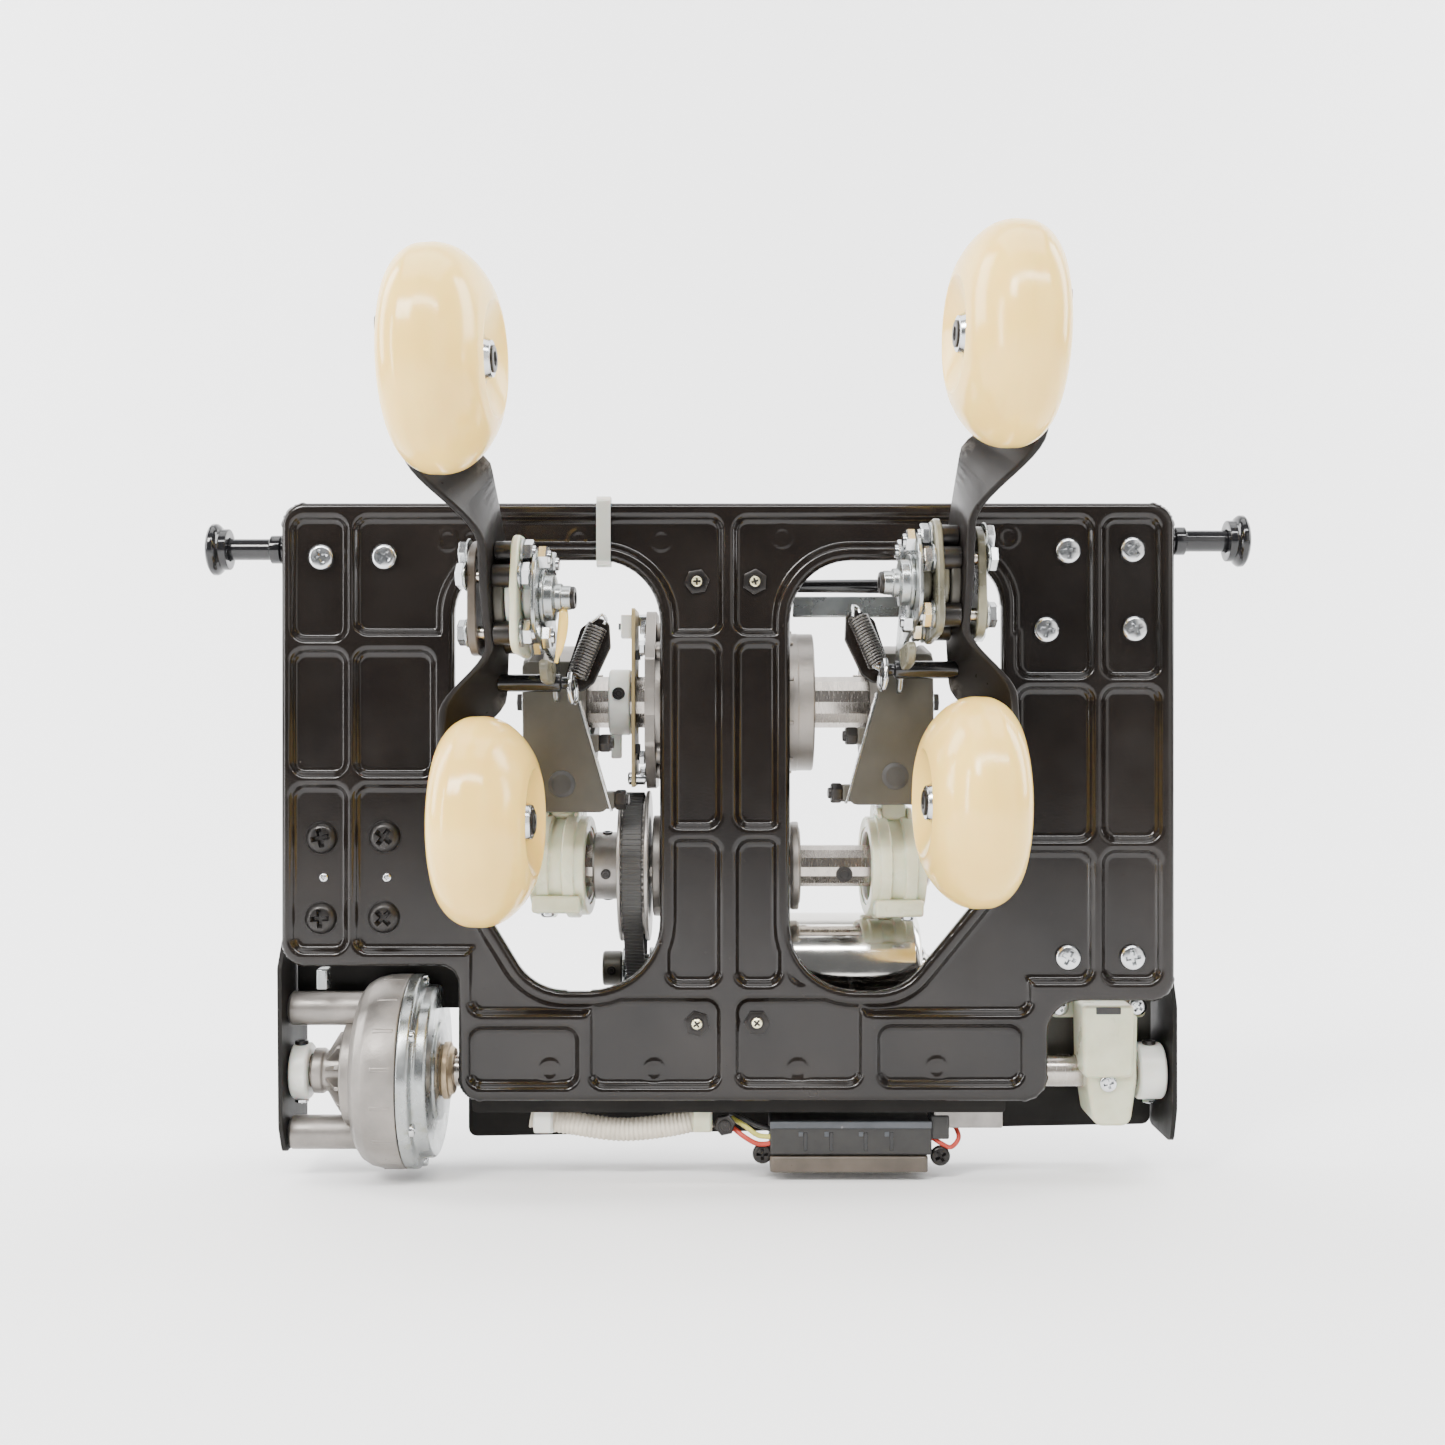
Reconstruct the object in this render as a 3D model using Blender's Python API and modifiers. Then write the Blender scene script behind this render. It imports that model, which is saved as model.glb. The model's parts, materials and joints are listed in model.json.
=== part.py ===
"""Back massage mechanism: four kneading rollers on a rail-guided carriage.

Frame: +X across the carriage, +Y from the rollers to the rear, +Z up.  The origin is midway between the two
guide rollers across and in height, in the plane of the front plate's panels; the guide axles lie at y 15.
Lengths below are millimetres and become metres in the helpers.
"""
import math

import bmesh
import bpy
from mathutils import Matrix

MM = 0.001
GAP = 0.3                 # clearance between touching pieces

# Front plate: a pressed sheet with raised beads round sunk panels
PLATE_HALF = 205.0
PLATE_TOP = 18.0
PLATE_BOTTOM = -257.0
PLATE_BACK = 2.0          # rear face of the sheet
BEAD_FRONT = -3.0         # front face of the raised beads
LEFT_NOTCH = (-124.0, -195.0)
RIGHT_NOTCH = (147.0, -211.0)
OPENING_TOP = -8.5
OPENING_BOTTOM = -206.0
OPENING_BEAD = 7.0

# Axes, as (y, z)
GUIDE_AXIS_Y = 15.0
GUIDE_TILT = 2.0          # the right guide sits higher than the left by twice this
KNEAD_AXIS = (36.0, -73.3)
TAP_AXIS = (32.0, -151.4)
MOTOR_AXIS = (50.0, -203.0)
LIFT_AXIS = (20.0, -247.0)

# Shafts
KNEAD_RADIUS = 12.5
TAP_RADIUS = 10.0
LIFT_RADIUS = 7.5
GUIDE_RADIUS = 5.0

# Arm assemblies, one each side
HUB_X = 78.0              # middle of the inclined hub on the kneading shaft
SPLAY = math.radians(4.5)
ROCK_AT_REST = math.radians(2.4)
PIVOT = (10.6, -82.1, 47.6)       # arm pivot from the hub: outward, y, z
UPPER_ROLLER = (12.8, -66.0, 91.9)    # roller centres from the pivot
LOWER_ROLLER = (7.9, -17.5, -95.4)
ROD_PIN_Z = -38.0         # rod pin below the hub
ROLLER_OUTER = 17.0       # outer face from the roller's centre
ARM_THICKNESS = 6.0
ARM_WIDTH = 23.0

# Tapping belt drive, 3 mm pitch
BELT_PITCH = 3.0
BIG_TEETH = 72
SMALL_TEETH = 18
BELT_X = (-48.9, -39.8)
BELT_THICKNESS = 2.2


def fresh_scene():
    for item in list(bpy.data.objects):
        bpy.data.objects.remove(item, do_unlink=True)
    parts = bpy.data.collections.new("massage_mechanism")
    cutters = bpy.data.collections.new("cutters")
    bpy.context.scene.collection.children.link(parts)
    bpy.context.scene.collection.children.link(cutters)
    return parts, cutters


PARTS, CUTTERS = fresh_scene()


def material(name, colour, roughness, metallic=0.0):
    found = bpy.data.materials.get(name)
    if found:
        return found
    made = bpy.data.materials.new(name)
    made.use_nodes = True
    shader = made.node_tree.nodes["Principled BSDF"]
    shader.inputs["Base Color"].default_value = (*colour, 1.0)
    shader.inputs["Roughness"].default_value = roughness
    shader.inputs["Metallic"].default_value = metallic
    return made


def black_paint():
    return material("black_paint", (0.012, 0.011, 0.011), 0.22)


def cast_aluminium():
    return material("cast_aluminium", (0.52, 0.50, 0.47), 0.55, 0.8)


def zinc():
    return material("zinc", (0.42, 0.44, 0.44), 0.35, 0.9)


def bright_steel():
    return material("bright_steel", (0.62, 0.60, 0.57), 0.2, 1.0)


def nylon():
    return material("nylon", (0.72, 0.74, 0.66), 0.4)


def white_nylon():
    return material("white_nylon", (0.85, 0.85, 0.83), 0.4)


def brown_nylon():
    return material("brown_nylon", (0.20, 0.15, 0.11), 0.4)


def cream_plastic():
    return material("cream_plastic", (0.86, 0.72, 0.52), 0.2)


def black_rubber():
    return material("black_rubber", (0.02, 0.02, 0.02), 0.6)


def brass():
    return material("brass", (0.66, 0.50, 0.30), 0.4, 0.9)


def grey_plastic():
    return material("grey_plastic", (0.09, 0.10, 0.11), 0.5)


def board_green():
    return material("board", (0.30, 0.24, 0.12), 0.5)


# Orientation of flat outlines and turned shapes: local axes to the part's axes
PLANE_XZ = Matrix(((1, 0, 0), (0, 0, -1), (0, 1, 0)))    # outline (x, z), thickness along y
PLANE_YZ = Matrix(((0, 0, 1), (1, 0, 0), (0, 1, 0)))     # outline (y, z), thickness along x
ALONG_Z = Matrix.Identity(3)
ALONG_X = Matrix(((0, 0, 1), (1, 0, 0), (0, 1, 0)))


def finish_mesh(mesh, turn, shift):
    """Scale to metres, turn into place and make the faces point out."""
    work = bmesh.new()
    work.from_mesh(mesh)
    bmesh.ops.remove_doubles(work, verts=work.verts, dist=1e-4)
    bmesh.ops.transform(work, matrix=turn.to_4x4(), verts=work.verts)
    bmesh.ops.translate(work, vec=shift, verts=work.verts)
    bmesh.ops.scale(work, vec=(MM, MM, MM), verts=work.verts)
    bmesh.ops.recalc_face_normals(work, faces=work.faces)
    work.to_mesh(mesh)
    work.free()
    mesh.shade_smooth()
    mesh.set_sharp_from_angle(angle=math.radians(35))


def evaluated_mesh(source, name):
    """The evaluated mesh of a helper object, which is then removed."""
    source_data = source.data
    CUTTERS.objects.link(source)
    depsgraph = bpy.context.evaluated_depsgraph_get()
    mesh = bpy.data.meshes.new_from_object(source.evaluated_get(depsgraph))
    mesh.name = name
    bpy.data.objects.remove(source, do_unlink=True)
    if isinstance(source_data, bpy.types.Curve):
        bpy.data.curves.remove(source_data)
    return mesh


def solid(name, mesh, finish, parent=None, cutter=False):
    made = bpy.data.objects.new(name, mesh)
    (CUTTERS if cutter else PARTS).objects.link(made)
    made.parent = parent
    if cutter:
        made.hide_render = True
        made.display_type = "WIRE"
    else:
        made.data.materials.clear()
        made.data.materials.append(finish)
    return made


def arc_points(centre, radius, start, end, steps):
    return [(centre[0] + radius * math.cos(start + (end - start) * i / steps),
             centre[1] + radius * math.sin(start + (end - start) * i / steps)) for i in range(steps + 1)]


def circle(centre, radius, steps=14):
    return arc_points(centre, radius, 0.0, 2 * math.pi, steps)[:-1]


def rounded(corners, steps=3):
    """Corner points (p, q, radius) joined by straight runs and round corners."""
    points = []
    count = len(corners)
    for i, (p, q, radius) in enumerate(corners):
        before = corners[i - 1]
        after = corners[(i + 1) % count]
        if radius <= 0:
            points.append((p, q))
            continue
        to_before = math.atan2(before[1] - q, before[0] - p)
        to_after = math.atan2(after[1] - q, after[0] - p)
        turn = (to_after - to_before + math.pi) % (2 * math.pi) - math.pi
        half = abs(turn) / 2
        reach = radius / math.tan(half)
        middle = to_before + turn / 2
        centre = (p + radius / math.sin(half) * math.cos(middle), q + radius / math.sin(half) * math.sin(middle))
        first = (p + reach * math.cos(to_before), q + reach * math.sin(to_before))
        start = math.atan2(first[1] - centre[1], first[0] - centre[0])
        sweep = -math.copysign(math.pi - 2 * half, turn)
        points += arc_points(centre, radius, start, start + sweep, steps)
    return points


def box_loop(p0, p1, q0, q1, radius=0.0, steps=3):
    return rounded([(p0, q0, radius), (p1, q0, radius), (p1, q1, radius), (p0, q1, radius)], steps)


def flat(name, loops, low, high, plane, finish=None, parent=None, cutter=False):
    """A flat outline with holes, filled and extruded from low to high along its normal."""
    curve = bpy.data.curves.new(name, "CURVE")
    curve.dimensions = "2D"
    curve.fill_mode = "BOTH"
    curve.extrude = (high - low) / 2
    for loop in loops:
        spline = curve.splines.new("POLY")
        spline.points.add(len(loop) - 1)
        for point, (p, q) in zip(spline.points, loop):
            point.co = (p, q, 0.0, 1.0)
        spline.use_cyclic_u = True
    mesh = evaluated_mesh(bpy.data.objects.new(name, curve), name)
    normal = plane @ Matrix.Identity(3).col[2]
    middle = (low + high) / 2
    finish_mesh(mesh, plane, [middle * abs(axis) for axis in normal])
    return solid(name, mesh, finish, parent, cutter)


def turned(name, profile, turn, finish=None, parent=None, shift=(0, 0, 0), steps=16, cutter=False):
    """A closed (radius, axial) profile turned round the axis; points on the axis are merged."""
    mesh = bpy.data.meshes.new(name)
    on_axis = profile[0][0] == 0 and profile[-1][0] == 0
    count = len(profile)
    edges = [(i, i + 1) for i in range(count - 1)]
    if not on_axis:
        edges.append((count - 1, 0))
    mesh.from_pydata([(radius, 0.0, axial) for radius, axial in profile], edges, [])
    helper = bpy.data.objects.new(name, mesh)
    screw = helper.modifiers.new("turn", "SCREW")
    screw.steps = steps
    screw.render_steps = steps
    screw.use_merge_vertices = True
    screw.merge_threshold = 0.0001
    result = evaluated_mesh(helper, name)
    bpy.data.meshes.remove(mesh)
    finish_mesh(result, turn, shift)
    return solid(name, result, finish, parent, cutter)


def rod_profile(radius, low, high, chamfer=0.0):
    return [(0, high), (radius - chamfer, high), (radius, high - chamfer),
            (radius, low + chamfer), (radius - chamfer, low), (0, low)] if chamfer else [
            (0, high), (radius, high), (radius, low), (0, low)]


def ring_profile(inner, outer, low, high, chamfer=0.0):
    if not chamfer:
        return [(inner, high), (outer, high), (outer, low), (inner, low)]
    return [(inner, high), (outer - chamfer, high), (outer, high - chamfer),
            (outer, low + chamfer), (outer - chamfer, low), (inner, low)]


def box(name, x, y, z, finish=None, parent=None, cutter=False, bevel=0.0):
    """A box between the pairs x, y and z."""
    mesh = bpy.data.meshes.new(name)
    work = bmesh.new()
    bmesh.ops.create_cube(work, size=1.0)
    size = [pair[1] - pair[0] for pair in (x, y, z)]
    bmesh.ops.scale(work, vec=size, verts=work.verts)
    if bevel:
        bmesh.ops.bevel(work, geom=work.edges[:], offset=bevel, segments=1, affect="EDGES")
    work.to_mesh(mesh)
    work.free()
    finish_mesh(mesh, ALONG_Z, [(pair[0] + pair[1]) / 2 for pair in (x, y, z)])
    return solid(name, mesh, finish, parent, cutter)


def combine(target, tools, operation, solver="EXACT"):
    for tool in tools:
        step = target.modifiers.new(operation.lower(), "BOOLEAN")
        step.operation = operation
        step.solver = solver
        step.object = tool


def joined(target, *tools):
    combine(target, tools, "UNION")


def cut(target, *tools, solver="EXACT"):
    combine(target, tools, "DIFFERENCE", solver)


def mount_point(name, location, parent=None, rotation=(0, 0, 0)):
    empty = bpy.data.objects.new(name, None)
    PARTS.objects.link(empty)
    empty.parent = parent
    empty.location = [value * MM for value in location]
    empty.rotation_euler = rotation
    return empty


# ---------------------------------------------------------------- front plate
def left_opening(grow=0.0):
    return rounded([(-125.6 - grow, OPENING_TOP + grow, 25 + grow), (-31.3 + grow, OPENING_TOP + grow, 28 + grow),
                    (-31.3 + grow, OPENING_BOTTOM - grow, 32 + grow), (-89 - grow, OPENING_BOTTOM - grow, 26 + grow),
                    (-125.6 - grow, -146 - grow / 2, 20)], 5)


def right_opening(grow=0.0):
    return rounded([(28.5 - grow, OPENING_TOP + grow, 28 + grow), (125 + grow, OPENING_TOP + grow, 20 + grow),
                    (125 + grow, -151 - grow / 2, 15), (80 + grow, OPENING_BOTTOM - grow, 24 + grow),
                    (28.5 - grow, OPENING_BOTTOM - grow, 30 + grow)], 5)


# Sunk panels as (x0, x1, z0, z1), in two sets so that the panels of one set never touch
PANELS = [
    (-199, -176, -44, 10), (-199, -176, -106, -51), (-199, -176, -187, -113),
    (-170, -4, -41, 10), (-170, -136, -106, -51), (-170, -104, -187, -113),
    (4, 166, -41, 10), (173, 197, -61, 10), (173, 197, -136, -68), (173, 197, -201, -143),
    (134, 166, -136, -68), (100, 166, -201, -143),
    (-26.5, -5, -130, -47), (5, 23, -130, -47), (-26.5, -5, -202, -138), (5, 23, -202, -138),
    (-118, -70, -249, -224), (-62, -5, -249, -211), (5, 60, -248, -211), (70, 134, -248, -223),
]
SECOND_PANELS = [(134, 166, -61, -30), (66, 136, -216, -190), (-118, -66, -216, -190)]


def build_front_plate():
    outline = rounded([(-PLATE_HALF, PLATE_TOP, 11), (PLATE_HALF, PLATE_TOP, 11),
                       (PLATE_HALF, RIGHT_NOTCH[1], 11), (*RIGHT_NOTCH, 14), (RIGHT_NOTCH[0], PLATE_BOTTOM, 12),
                       (LEFT_NOTCH[0], PLATE_BOTTOM, 11), (*LEFT_NOTCH, 8), (-PLATE_HALF, LEFT_NOTCH[1], 11)])
    plate = flat("front_plate", [outline, left_opening(), right_opening()], BEAD_FRONT, PLATE_BACK,
                 PLANE_XZ, black_paint())
    beads = [flat("opening_bead_left", [left_opening(OPENING_BEAD)], BEAD_FRONT - 3, 1, PLANE_XZ, cutter=True),
             flat("opening_bead_right", [right_opening(OPENING_BEAD)], BEAD_FRONT - 3, 1, PLANE_XZ, cutter=True)]
    for name, group in (("panel_cutter", PANELS), ("panel_cutter_2", SECOND_PANELS)):
        loops = [box_loop(*panel, 3, 1) for panel in group]
        panels = flat(name, loops, BEAD_FRONT - 1, 0, PLANE_XZ, cutter=True)
        cut(panels, *beads, solver="MANIFOLD")
        cut(plate, panels, solver="MANIFOLD")


# ---------------------------------------------------------------- chassis
def build_chassis():
    black = black_paint()
    ear = rounded([(0, -196, 3), (50, -130, 6), (50, -283, 6), (9, -283, 5), (2, -270, 10)], 3)
    flat("left_side_plate", [ear], -207.5, -205.5, PLANE_YZ, black)
    ear = rounded([(3, -214, 3), (50, -130, 6), (50, -278, 6), (9, -278, 5), (3, -262, 10)], 3)
    flat("right_side_plate", [ear], 205.5, 207.5, PLANE_YZ, black)
    rear = rounded([(-126, -231, 4), (205, -231, 4), (205, -278, 4), (-126, -284, 4)], 3)
    flat("rear_plate", [rear], 45, 47, PLANE_XZ, black)
    wall = rounded([(151, -208, 3), (203, -208, 3), (203, -256, 3), (151, -256, 3)], 3)
    flat("shaft_wall", [wall], 35, 37, PLANE_XZ, zinc())
    for side, name in ((-1, "left"), (1, "right")):
        height = side * GUIDE_TILT
        low, high = sorted((side * 204, side * 180))
        flat(f"{name}_guide_bracket", [box_loop(2.6, 27.4, height - 13, height + 12, 4),
                                       circle((GUIDE_AXIS_Y, height), GUIDE_RADIUS + GAP)],
             low, high, PLANE_YZ, black)
        axle = rod_profile(GUIDE_RADIUS, 182, 242, 0.8)
        frame = mount_point(f"{name}_guide_axis", (0, GUIDE_AXIS_Y, height), None,
                            (0, 0, 0 if side > 0 else math.pi))
        turned(f"{name}_guide_axle", axle, ALONG_X, black, frame, steps=12)
        bobbin = [(5.5, 242.7), (10.2, 242.7), (12.2, 241.2), (12.2, 238.6), (9.6, 235.6), (9.6, 233),
                  (5.5, 233)]
        turned(f"{name}_guide_roller", bobbin, ALONG_X, black, frame, steps=14)


def build_gearbox():
    """Kneading gearbox: two cups round the worm wheel, the worm tube and the motor behind."""
    y, z = KNEAD_AXIS
    axis = mount_point("gearbox_axis", (0, y, z))
    bore = KNEAD_RADIUS + 0.6
    cup = [(bore, -38), (33, -38), (33, -0.2), (28.5, -0.2), (28.5, -32), (bore, -32)]
    left = turned("gearbox_left_half", cup, ALONG_X, cast_aluminium(), axis, steps=18)
    flange = flat("gearbox_flange", [rounded([(-32.6, 20, 12), (-12, 43, 16), (22, 43, 16), (33, 22, 14),
                                              (33, -22, 14), (22, -41, 16), (-12, -41, 16), (-32.6, -20, 12)], 3),
                                     circle((0, 0), bore + 6)],
                  -38.6, -33.5, PLANE_YZ, cutter=True, parent=axis)
    joined(left, flange)
    cup = [(bore, 38.5), (20, 38.5), (20, 40.4), (32.8, 40.4), (32.8, 33), (33, 32.5), (33, 0.2), (28.5, 0.2),
           (28.5, 28), (bore, 28)]
    turned("gearbox_right_half", cup, ALONG_X, cast_aluminium(), axis, steps=18)
    turned("worm_wheel", ring_profile(bore, 26, -9, 9), ALONG_X, nylon(), axis, steps=18)
    rear = mount_point("worm_axis", (0, y + 48.5, z))
    turned("worm_housing", [(0, 33), (20, 33), (20, 29), (14, 29), (14, -26), (11, -30), (0, -30)], ALONG_Z,
           cast_aluminium(), rear, steps=12)
    turned("kneading_motor", [(0, 88), (8, 88), (8, 84), (25, 84), (26, 82), (26, 36), (24, 33.4), (0, 33.4)],
           ALONG_Z, bright_steel(), rear, steps=14)
    flat("sensor_board", [box_loop(-22, 16, -40, 44, 3), circle((0, 0), KNEAD_RADIUS + 3)],
         -45.4, -43.4, PLANE_YZ, board_green(), axis)


def build_tapping_drive():
    y, z = TAP_AXIS
    axis = mount_point("tapping_axis", (0, y, z))
    turned("tapping_housing", [(TAP_RADIUS + 0.6, 33.5), (21, 33.5), (21, 30), (17, 26), (17, -28), (24, -31),
                               (24, -35.4), (TAP_RADIUS + 0.6, -35.4)], ALONG_X, cast_aluminium(), axis)
    shaft = turned("tapping_shaft", rod_profile(TAP_RADIUS, -96, 96, 1), ALONG_X, bright_steel(), axis, steps=14)
    for side in (-1, 1):
        low, high = sorted((side * 69, side * 91))
        throw = turned(f"eccentric_{side}", rod_profile(12, low, high), ALONG_X, parent=axis, steps=14,
                       shift=(0, side * 1.9, 0), cutter=True)
        joined(shaft, throw)
    groove = BIG_TEETH * BELT_PITCH / (2 * math.pi) - 1.9
    pulley = [(TAP_RADIUS + GAP, -36.4), (groove + 3.4, -36.4), (groove + 3.4, -38.2), (groove, -39.4),
              (groove, -49.2), (groove + 3.4, -50.2), (groove + 3.4, -51.2), (16, -51.2), (16, -64),
              (TAP_RADIUS + GAP, -64)]
    turned("tapping_pulley", pulley, ALONG_X, zinc(), axis, steps=18)
    motor = mount_point("tapping_motor_axis", (0, *MOTOR_AXIS))
    turned("tapping_motor", [(0, 99), (7, 99), (9, 97), (9, 92), (25, 92), (27, 89), (27, -2), (25, -5), (10, -5),
                             (10, -30), (0, -30)], ALONG_X, bright_steel(), motor, steps=18)
    small = SMALL_TEETH * BELT_PITCH / (2 * math.pi) - 1.9
    turned("motor_pulley", [(0, -36), (10.2, -36), (10.2, -38.4), (small, -39.4), (small, -49.2),
                            (10.2, -50.2), (10.2, -51.2), (8.4, -51.2), (8.4, -61), (0, -61)],
           ALONG_X, zinc(), motor, steps=12)
    build_belt(groove + GAP, small + GAP)


def build_belt(big, small):
    """The belt's loop follows both pulleys and their outer tangents."""
    dy = MOTOR_AXIS[0] - TAP_AXIS[0]
    dz = MOTOR_AXIS[1] - TAP_AXIS[1]
    along = math.atan2(dz, dy)
    lean = math.acos((big - small) / math.hypot(dy, dz))

    def loop(offset):
        first = arc_points(TAP_AXIS, big + offset, along + lean, along + 2 * math.pi - lean, 22)
        second = arc_points(MOTOR_AXIS, small + offset, along - lean, along + lean, 8)
        return first + second
    flat("timing_belt", [loop(BELT_THICKNESS), loop(0)], *BELT_X, PLANE_YZ, black_rubber())


def build_lift_drive():
    axis = mount_point("lift_axis", (0, *LIFT_AXIS))
    turned("lift_shaft", rod_profile(LIFT_RADIUS, -204, 203, 1), ALONG_X, bright_steel(), axis, steps=12)
    bore = LIFT_RADIUS + 0.5
    body = [(bore, -194.5), (10.6, -194.5), (10.6, -178.7), (25, -178.7), (25, -172.6), (34, -172), (43, -165),
            (46, -156), (46, -149), (41, -149), (41, -158), (32, -167), (bore, -167)]
    gearbox = turned("lift_gearbox", body, ALONG_X, cast_aluminium(), axis, steps=18)
    posts = [turned(f"post_{i}", rod_profile(7.9, -205.2, -164), ALONG_X, parent=axis, steps=12,
                    shift=(0, post_y, post_z), cutter=True)
             for i, (post_y, post_z) in enumerate(((-4, 30), (-4, -28)))]
    joined(gearbox, *posts)
    cover = [(bore + 4, -148.6), (46, -148.6), (46, -143), (40, -141), (40, -136), (14, -136), (14, -134.5),
             (bore + 4, -134.5)]
    turned("lift_gearbox_cover", cover, ALONG_X, zinc(), axis, steps=18)
    turned("lift_bush", ring_profile(bore, bore + 3.6, -147, -128.5, 0.8), ALONG_X, brass(), axis, steps=12)
    turned("lift_worm_wheel", ring_profile(bore, 30, -163, -152), ALONG_X, nylon(), axis, steps=18)
    motor = mount_point("lift_motor_axis", (-157, LIFT_AXIS[0] + 40, 0))
    turned("lift_motor", [(0, -118), (8, -118), (8, -122), (23, -122), (24, -124), (24, -186), (22, -188),
                          (12, -188), (12, -199), (0, -199)], ALONG_Z, bright_steel(), motor, steps=14)
    wheel = ring_profile(bore - 0.2, 13.3, -204.6, -196, 0.8)
    turned("left_lift_wheel", wheel, ALONG_X, white_nylon(), axis, steps=16)
    wheel = ring_profile(bore - 0.2, 13.3, 191.5, 204.4, 0.8)
    turned("right_lift_wheel", wheel, ALONG_X, white_nylon(), axis, steps=16)
    block = flat("shaft_block", [rounded([(165.5, -216, 3), (189.5, -216, 3), (189, -250, 3), (186, -270, 3),
                                          (169, -270, 3), (166, -250, 3)], 2)],
                 3, 34.6, PLANE_XZ, nylon())
    flange = box("block_flange", (152.8, 197.6), (22, 34.6), (-222, -212), cutter=True)
    hole = turned("block_bore", rod_profile(bore, 150, 200), ALONG_X, parent=axis, steps=12, cutter=True)
    joined(block, flange)
    cut(block, hole)


def build_wiring():
    """Connector block, its heat plate, the wire sleeve and the tie on the plate's top rim."""
    box("connector_block", (19.5, 94.8), (8, 40), (-284.2, -268.4), grey_plastic(), bevel=1)
    box("connector_plate", (19.5, 93), (7, 42), (-292, -284.6), zinc(), bevel=0.8)
    sleeve = bpy.data.curves.new("wire_sleeve", "CURVE")
    sleeve.dimensions = "3D"
    sleeve.bevel_depth = 5.5
    sleeve.bevel_resolution = 2
    sleeve.use_fill_caps = True
    spline = sleeve.splines.new("POLY")
    count = 12
    spline.points.add(count)
    for i, point in enumerate(spline.points):
        t = i / count
        point.co = (-92 + 84 * t, 14, -267 - 7 * math.sin(math.pi * t), 1.0)
    mesh = evaluated_mesh(bpy.data.objects.new("wire_sleeve", sleeve), "wire_sleeve")
    finish_mesh(mesh, ALONG_Z, (0, 0, 0))
    solid("wire_sleeve", mesh, white_nylon())
    band = [box_loop(-5.4, 4.2, -11.4, 20.6, 1.5, 2), box_loop(-3.8, 2.6, -9.6, 19, 0.6, 1)]
    flat("cable_tie", band, -60.2, -53.8, PLANE_YZ, white_nylon())


def build_kneading_shaft():
    axis = mount_point("kneading_axis", (0, *KNEAD_AXIS))
    hub_radius = 19.0
    reach = 7.5
    profile = [(0, 97), (9, 97), (10, 96), (10, HUB_X + reach)]
    for side in (1, -1):
        steps = 4
        ball = [(math.sqrt(hub_radius ** 2 - (reach * (1 - 2 * i / steps)) ** 2),
                 side * HUB_X + reach * (1 - 2 * i / steps)) for i in range(steps + 1)]
        profile += ball
        if side > 0:
            profile += [(KNEAD_RADIUS, HUB_X - reach), (KNEAD_RADIUS, -HUB_X + reach)]
    profile += [(10, -HUB_X - reach), (10, -96), (9, -97), (0, -97)]
    turned("kneading_shaft", profile, ALONG_X, bright_steel(), axis, steps=14)
    collar = turned("shaft_collar", ring_profile(KNEAD_RADIUS + GAP, 15.8, -56.7, -46.4, 0.6), ALONG_X,
                    nylon(), axis, steps=14)
    tail = box("collar_tail", (-56, -51), (-3, 3), (-27, -14.4), parent=axis, cutter=True)
    joined(collar, tail)


# ---------------------------------------------------------------- arm assemblies
def arm_centre(t):
    """Centre line of the bent arm in the pivot's (y, z), a quadratic curve through the pivot."""
    upper = UPPER_ROLLER[1:]
    lower = LOWER_ROLLER[1:]
    control = [-(upper[i] + lower[i]) / 2 for i in (0, 1)]
    return [(1 - t) ** 2 * upper[i] + 2 * t * (1 - t) * control[i] + t ** 2 * lower[i] for i in (0, 1)]


def smooth_step(value, start, end):
    t = min(max((value - start) / (end - start), 0.0), 1.0)
    return t * t * (3 - 2 * t)


def arm_outward(t):
    """How far out the arm's middle runs: out beyond the rollers at both ends, close in at the pivot."""
    middle = 7.0
    half = ARM_THICKNESS / 2
    upper = UPPER_ROLLER[0] + ROLLER_OUTER + 0.6 + half
    lower = LOWER_ROLLER[0] + ROLLER_OUTER + 0.6 + half
    return middle + (upper - middle) * (1 - smooth_step(t, 0.16, 0.34)) + (lower - middle) * smooth_step(
        t, 0.66, 0.84)


def build_arm(name, side, pivot):
    """A flat bar lofted along its bent centre line, with round ends."""
    work = bmesh.new()
    rings = []
    half_width = ARM_WIDTH / 2
    half_thick = ARM_THICKNESS / 2
    stations = [-0.075, -0.068, -0.045, 0.0] + [i / 20 for i in range(1, 20)] + [1.0, 1.045, 1.068, 1.075]
    for t in stations:
        beyond = max(-t, t - 1, 0) / 0.0765
        width = half_width * math.sqrt(max(1 - beyond ** 2, 0.03))
        width *= 1 + 0.25 * math.exp(-((t - 0.5) / 0.12) ** 2)
        y, z = arm_centre(t)
        ahead = arm_centre(t + 0.01)
        slope = math.atan2(ahead[1] - z, ahead[0] - y)
        across = (-math.sin(slope), math.cos(slope))
        out = arm_outward(t)
        ring = [work.verts.new((side * (out + part * half_thick), y + edge * width * across[0],
                                z + edge * width * across[1]))
                for part, edge in ((-1, -1), (1, -1), (1, 1), (-1, 1))]
        rings.append(ring)
    for first, second in zip(rings, rings[1:]):
        for i in range(4):
            work.faces.new((first[i], first[(i + 1) % 4], second[(i + 1) % 4], second[i]))
    work.faces.new(rings[0])
    work.faces.new(rings[-1])
    mesh = bpy.data.meshes.new(name)
    work.to_mesh(mesh)
    work.free()
    finish_mesh(mesh, ALONG_Z, (0, 0, 0))
    return solid(name, mesh, black_paint(), pivot)


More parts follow.
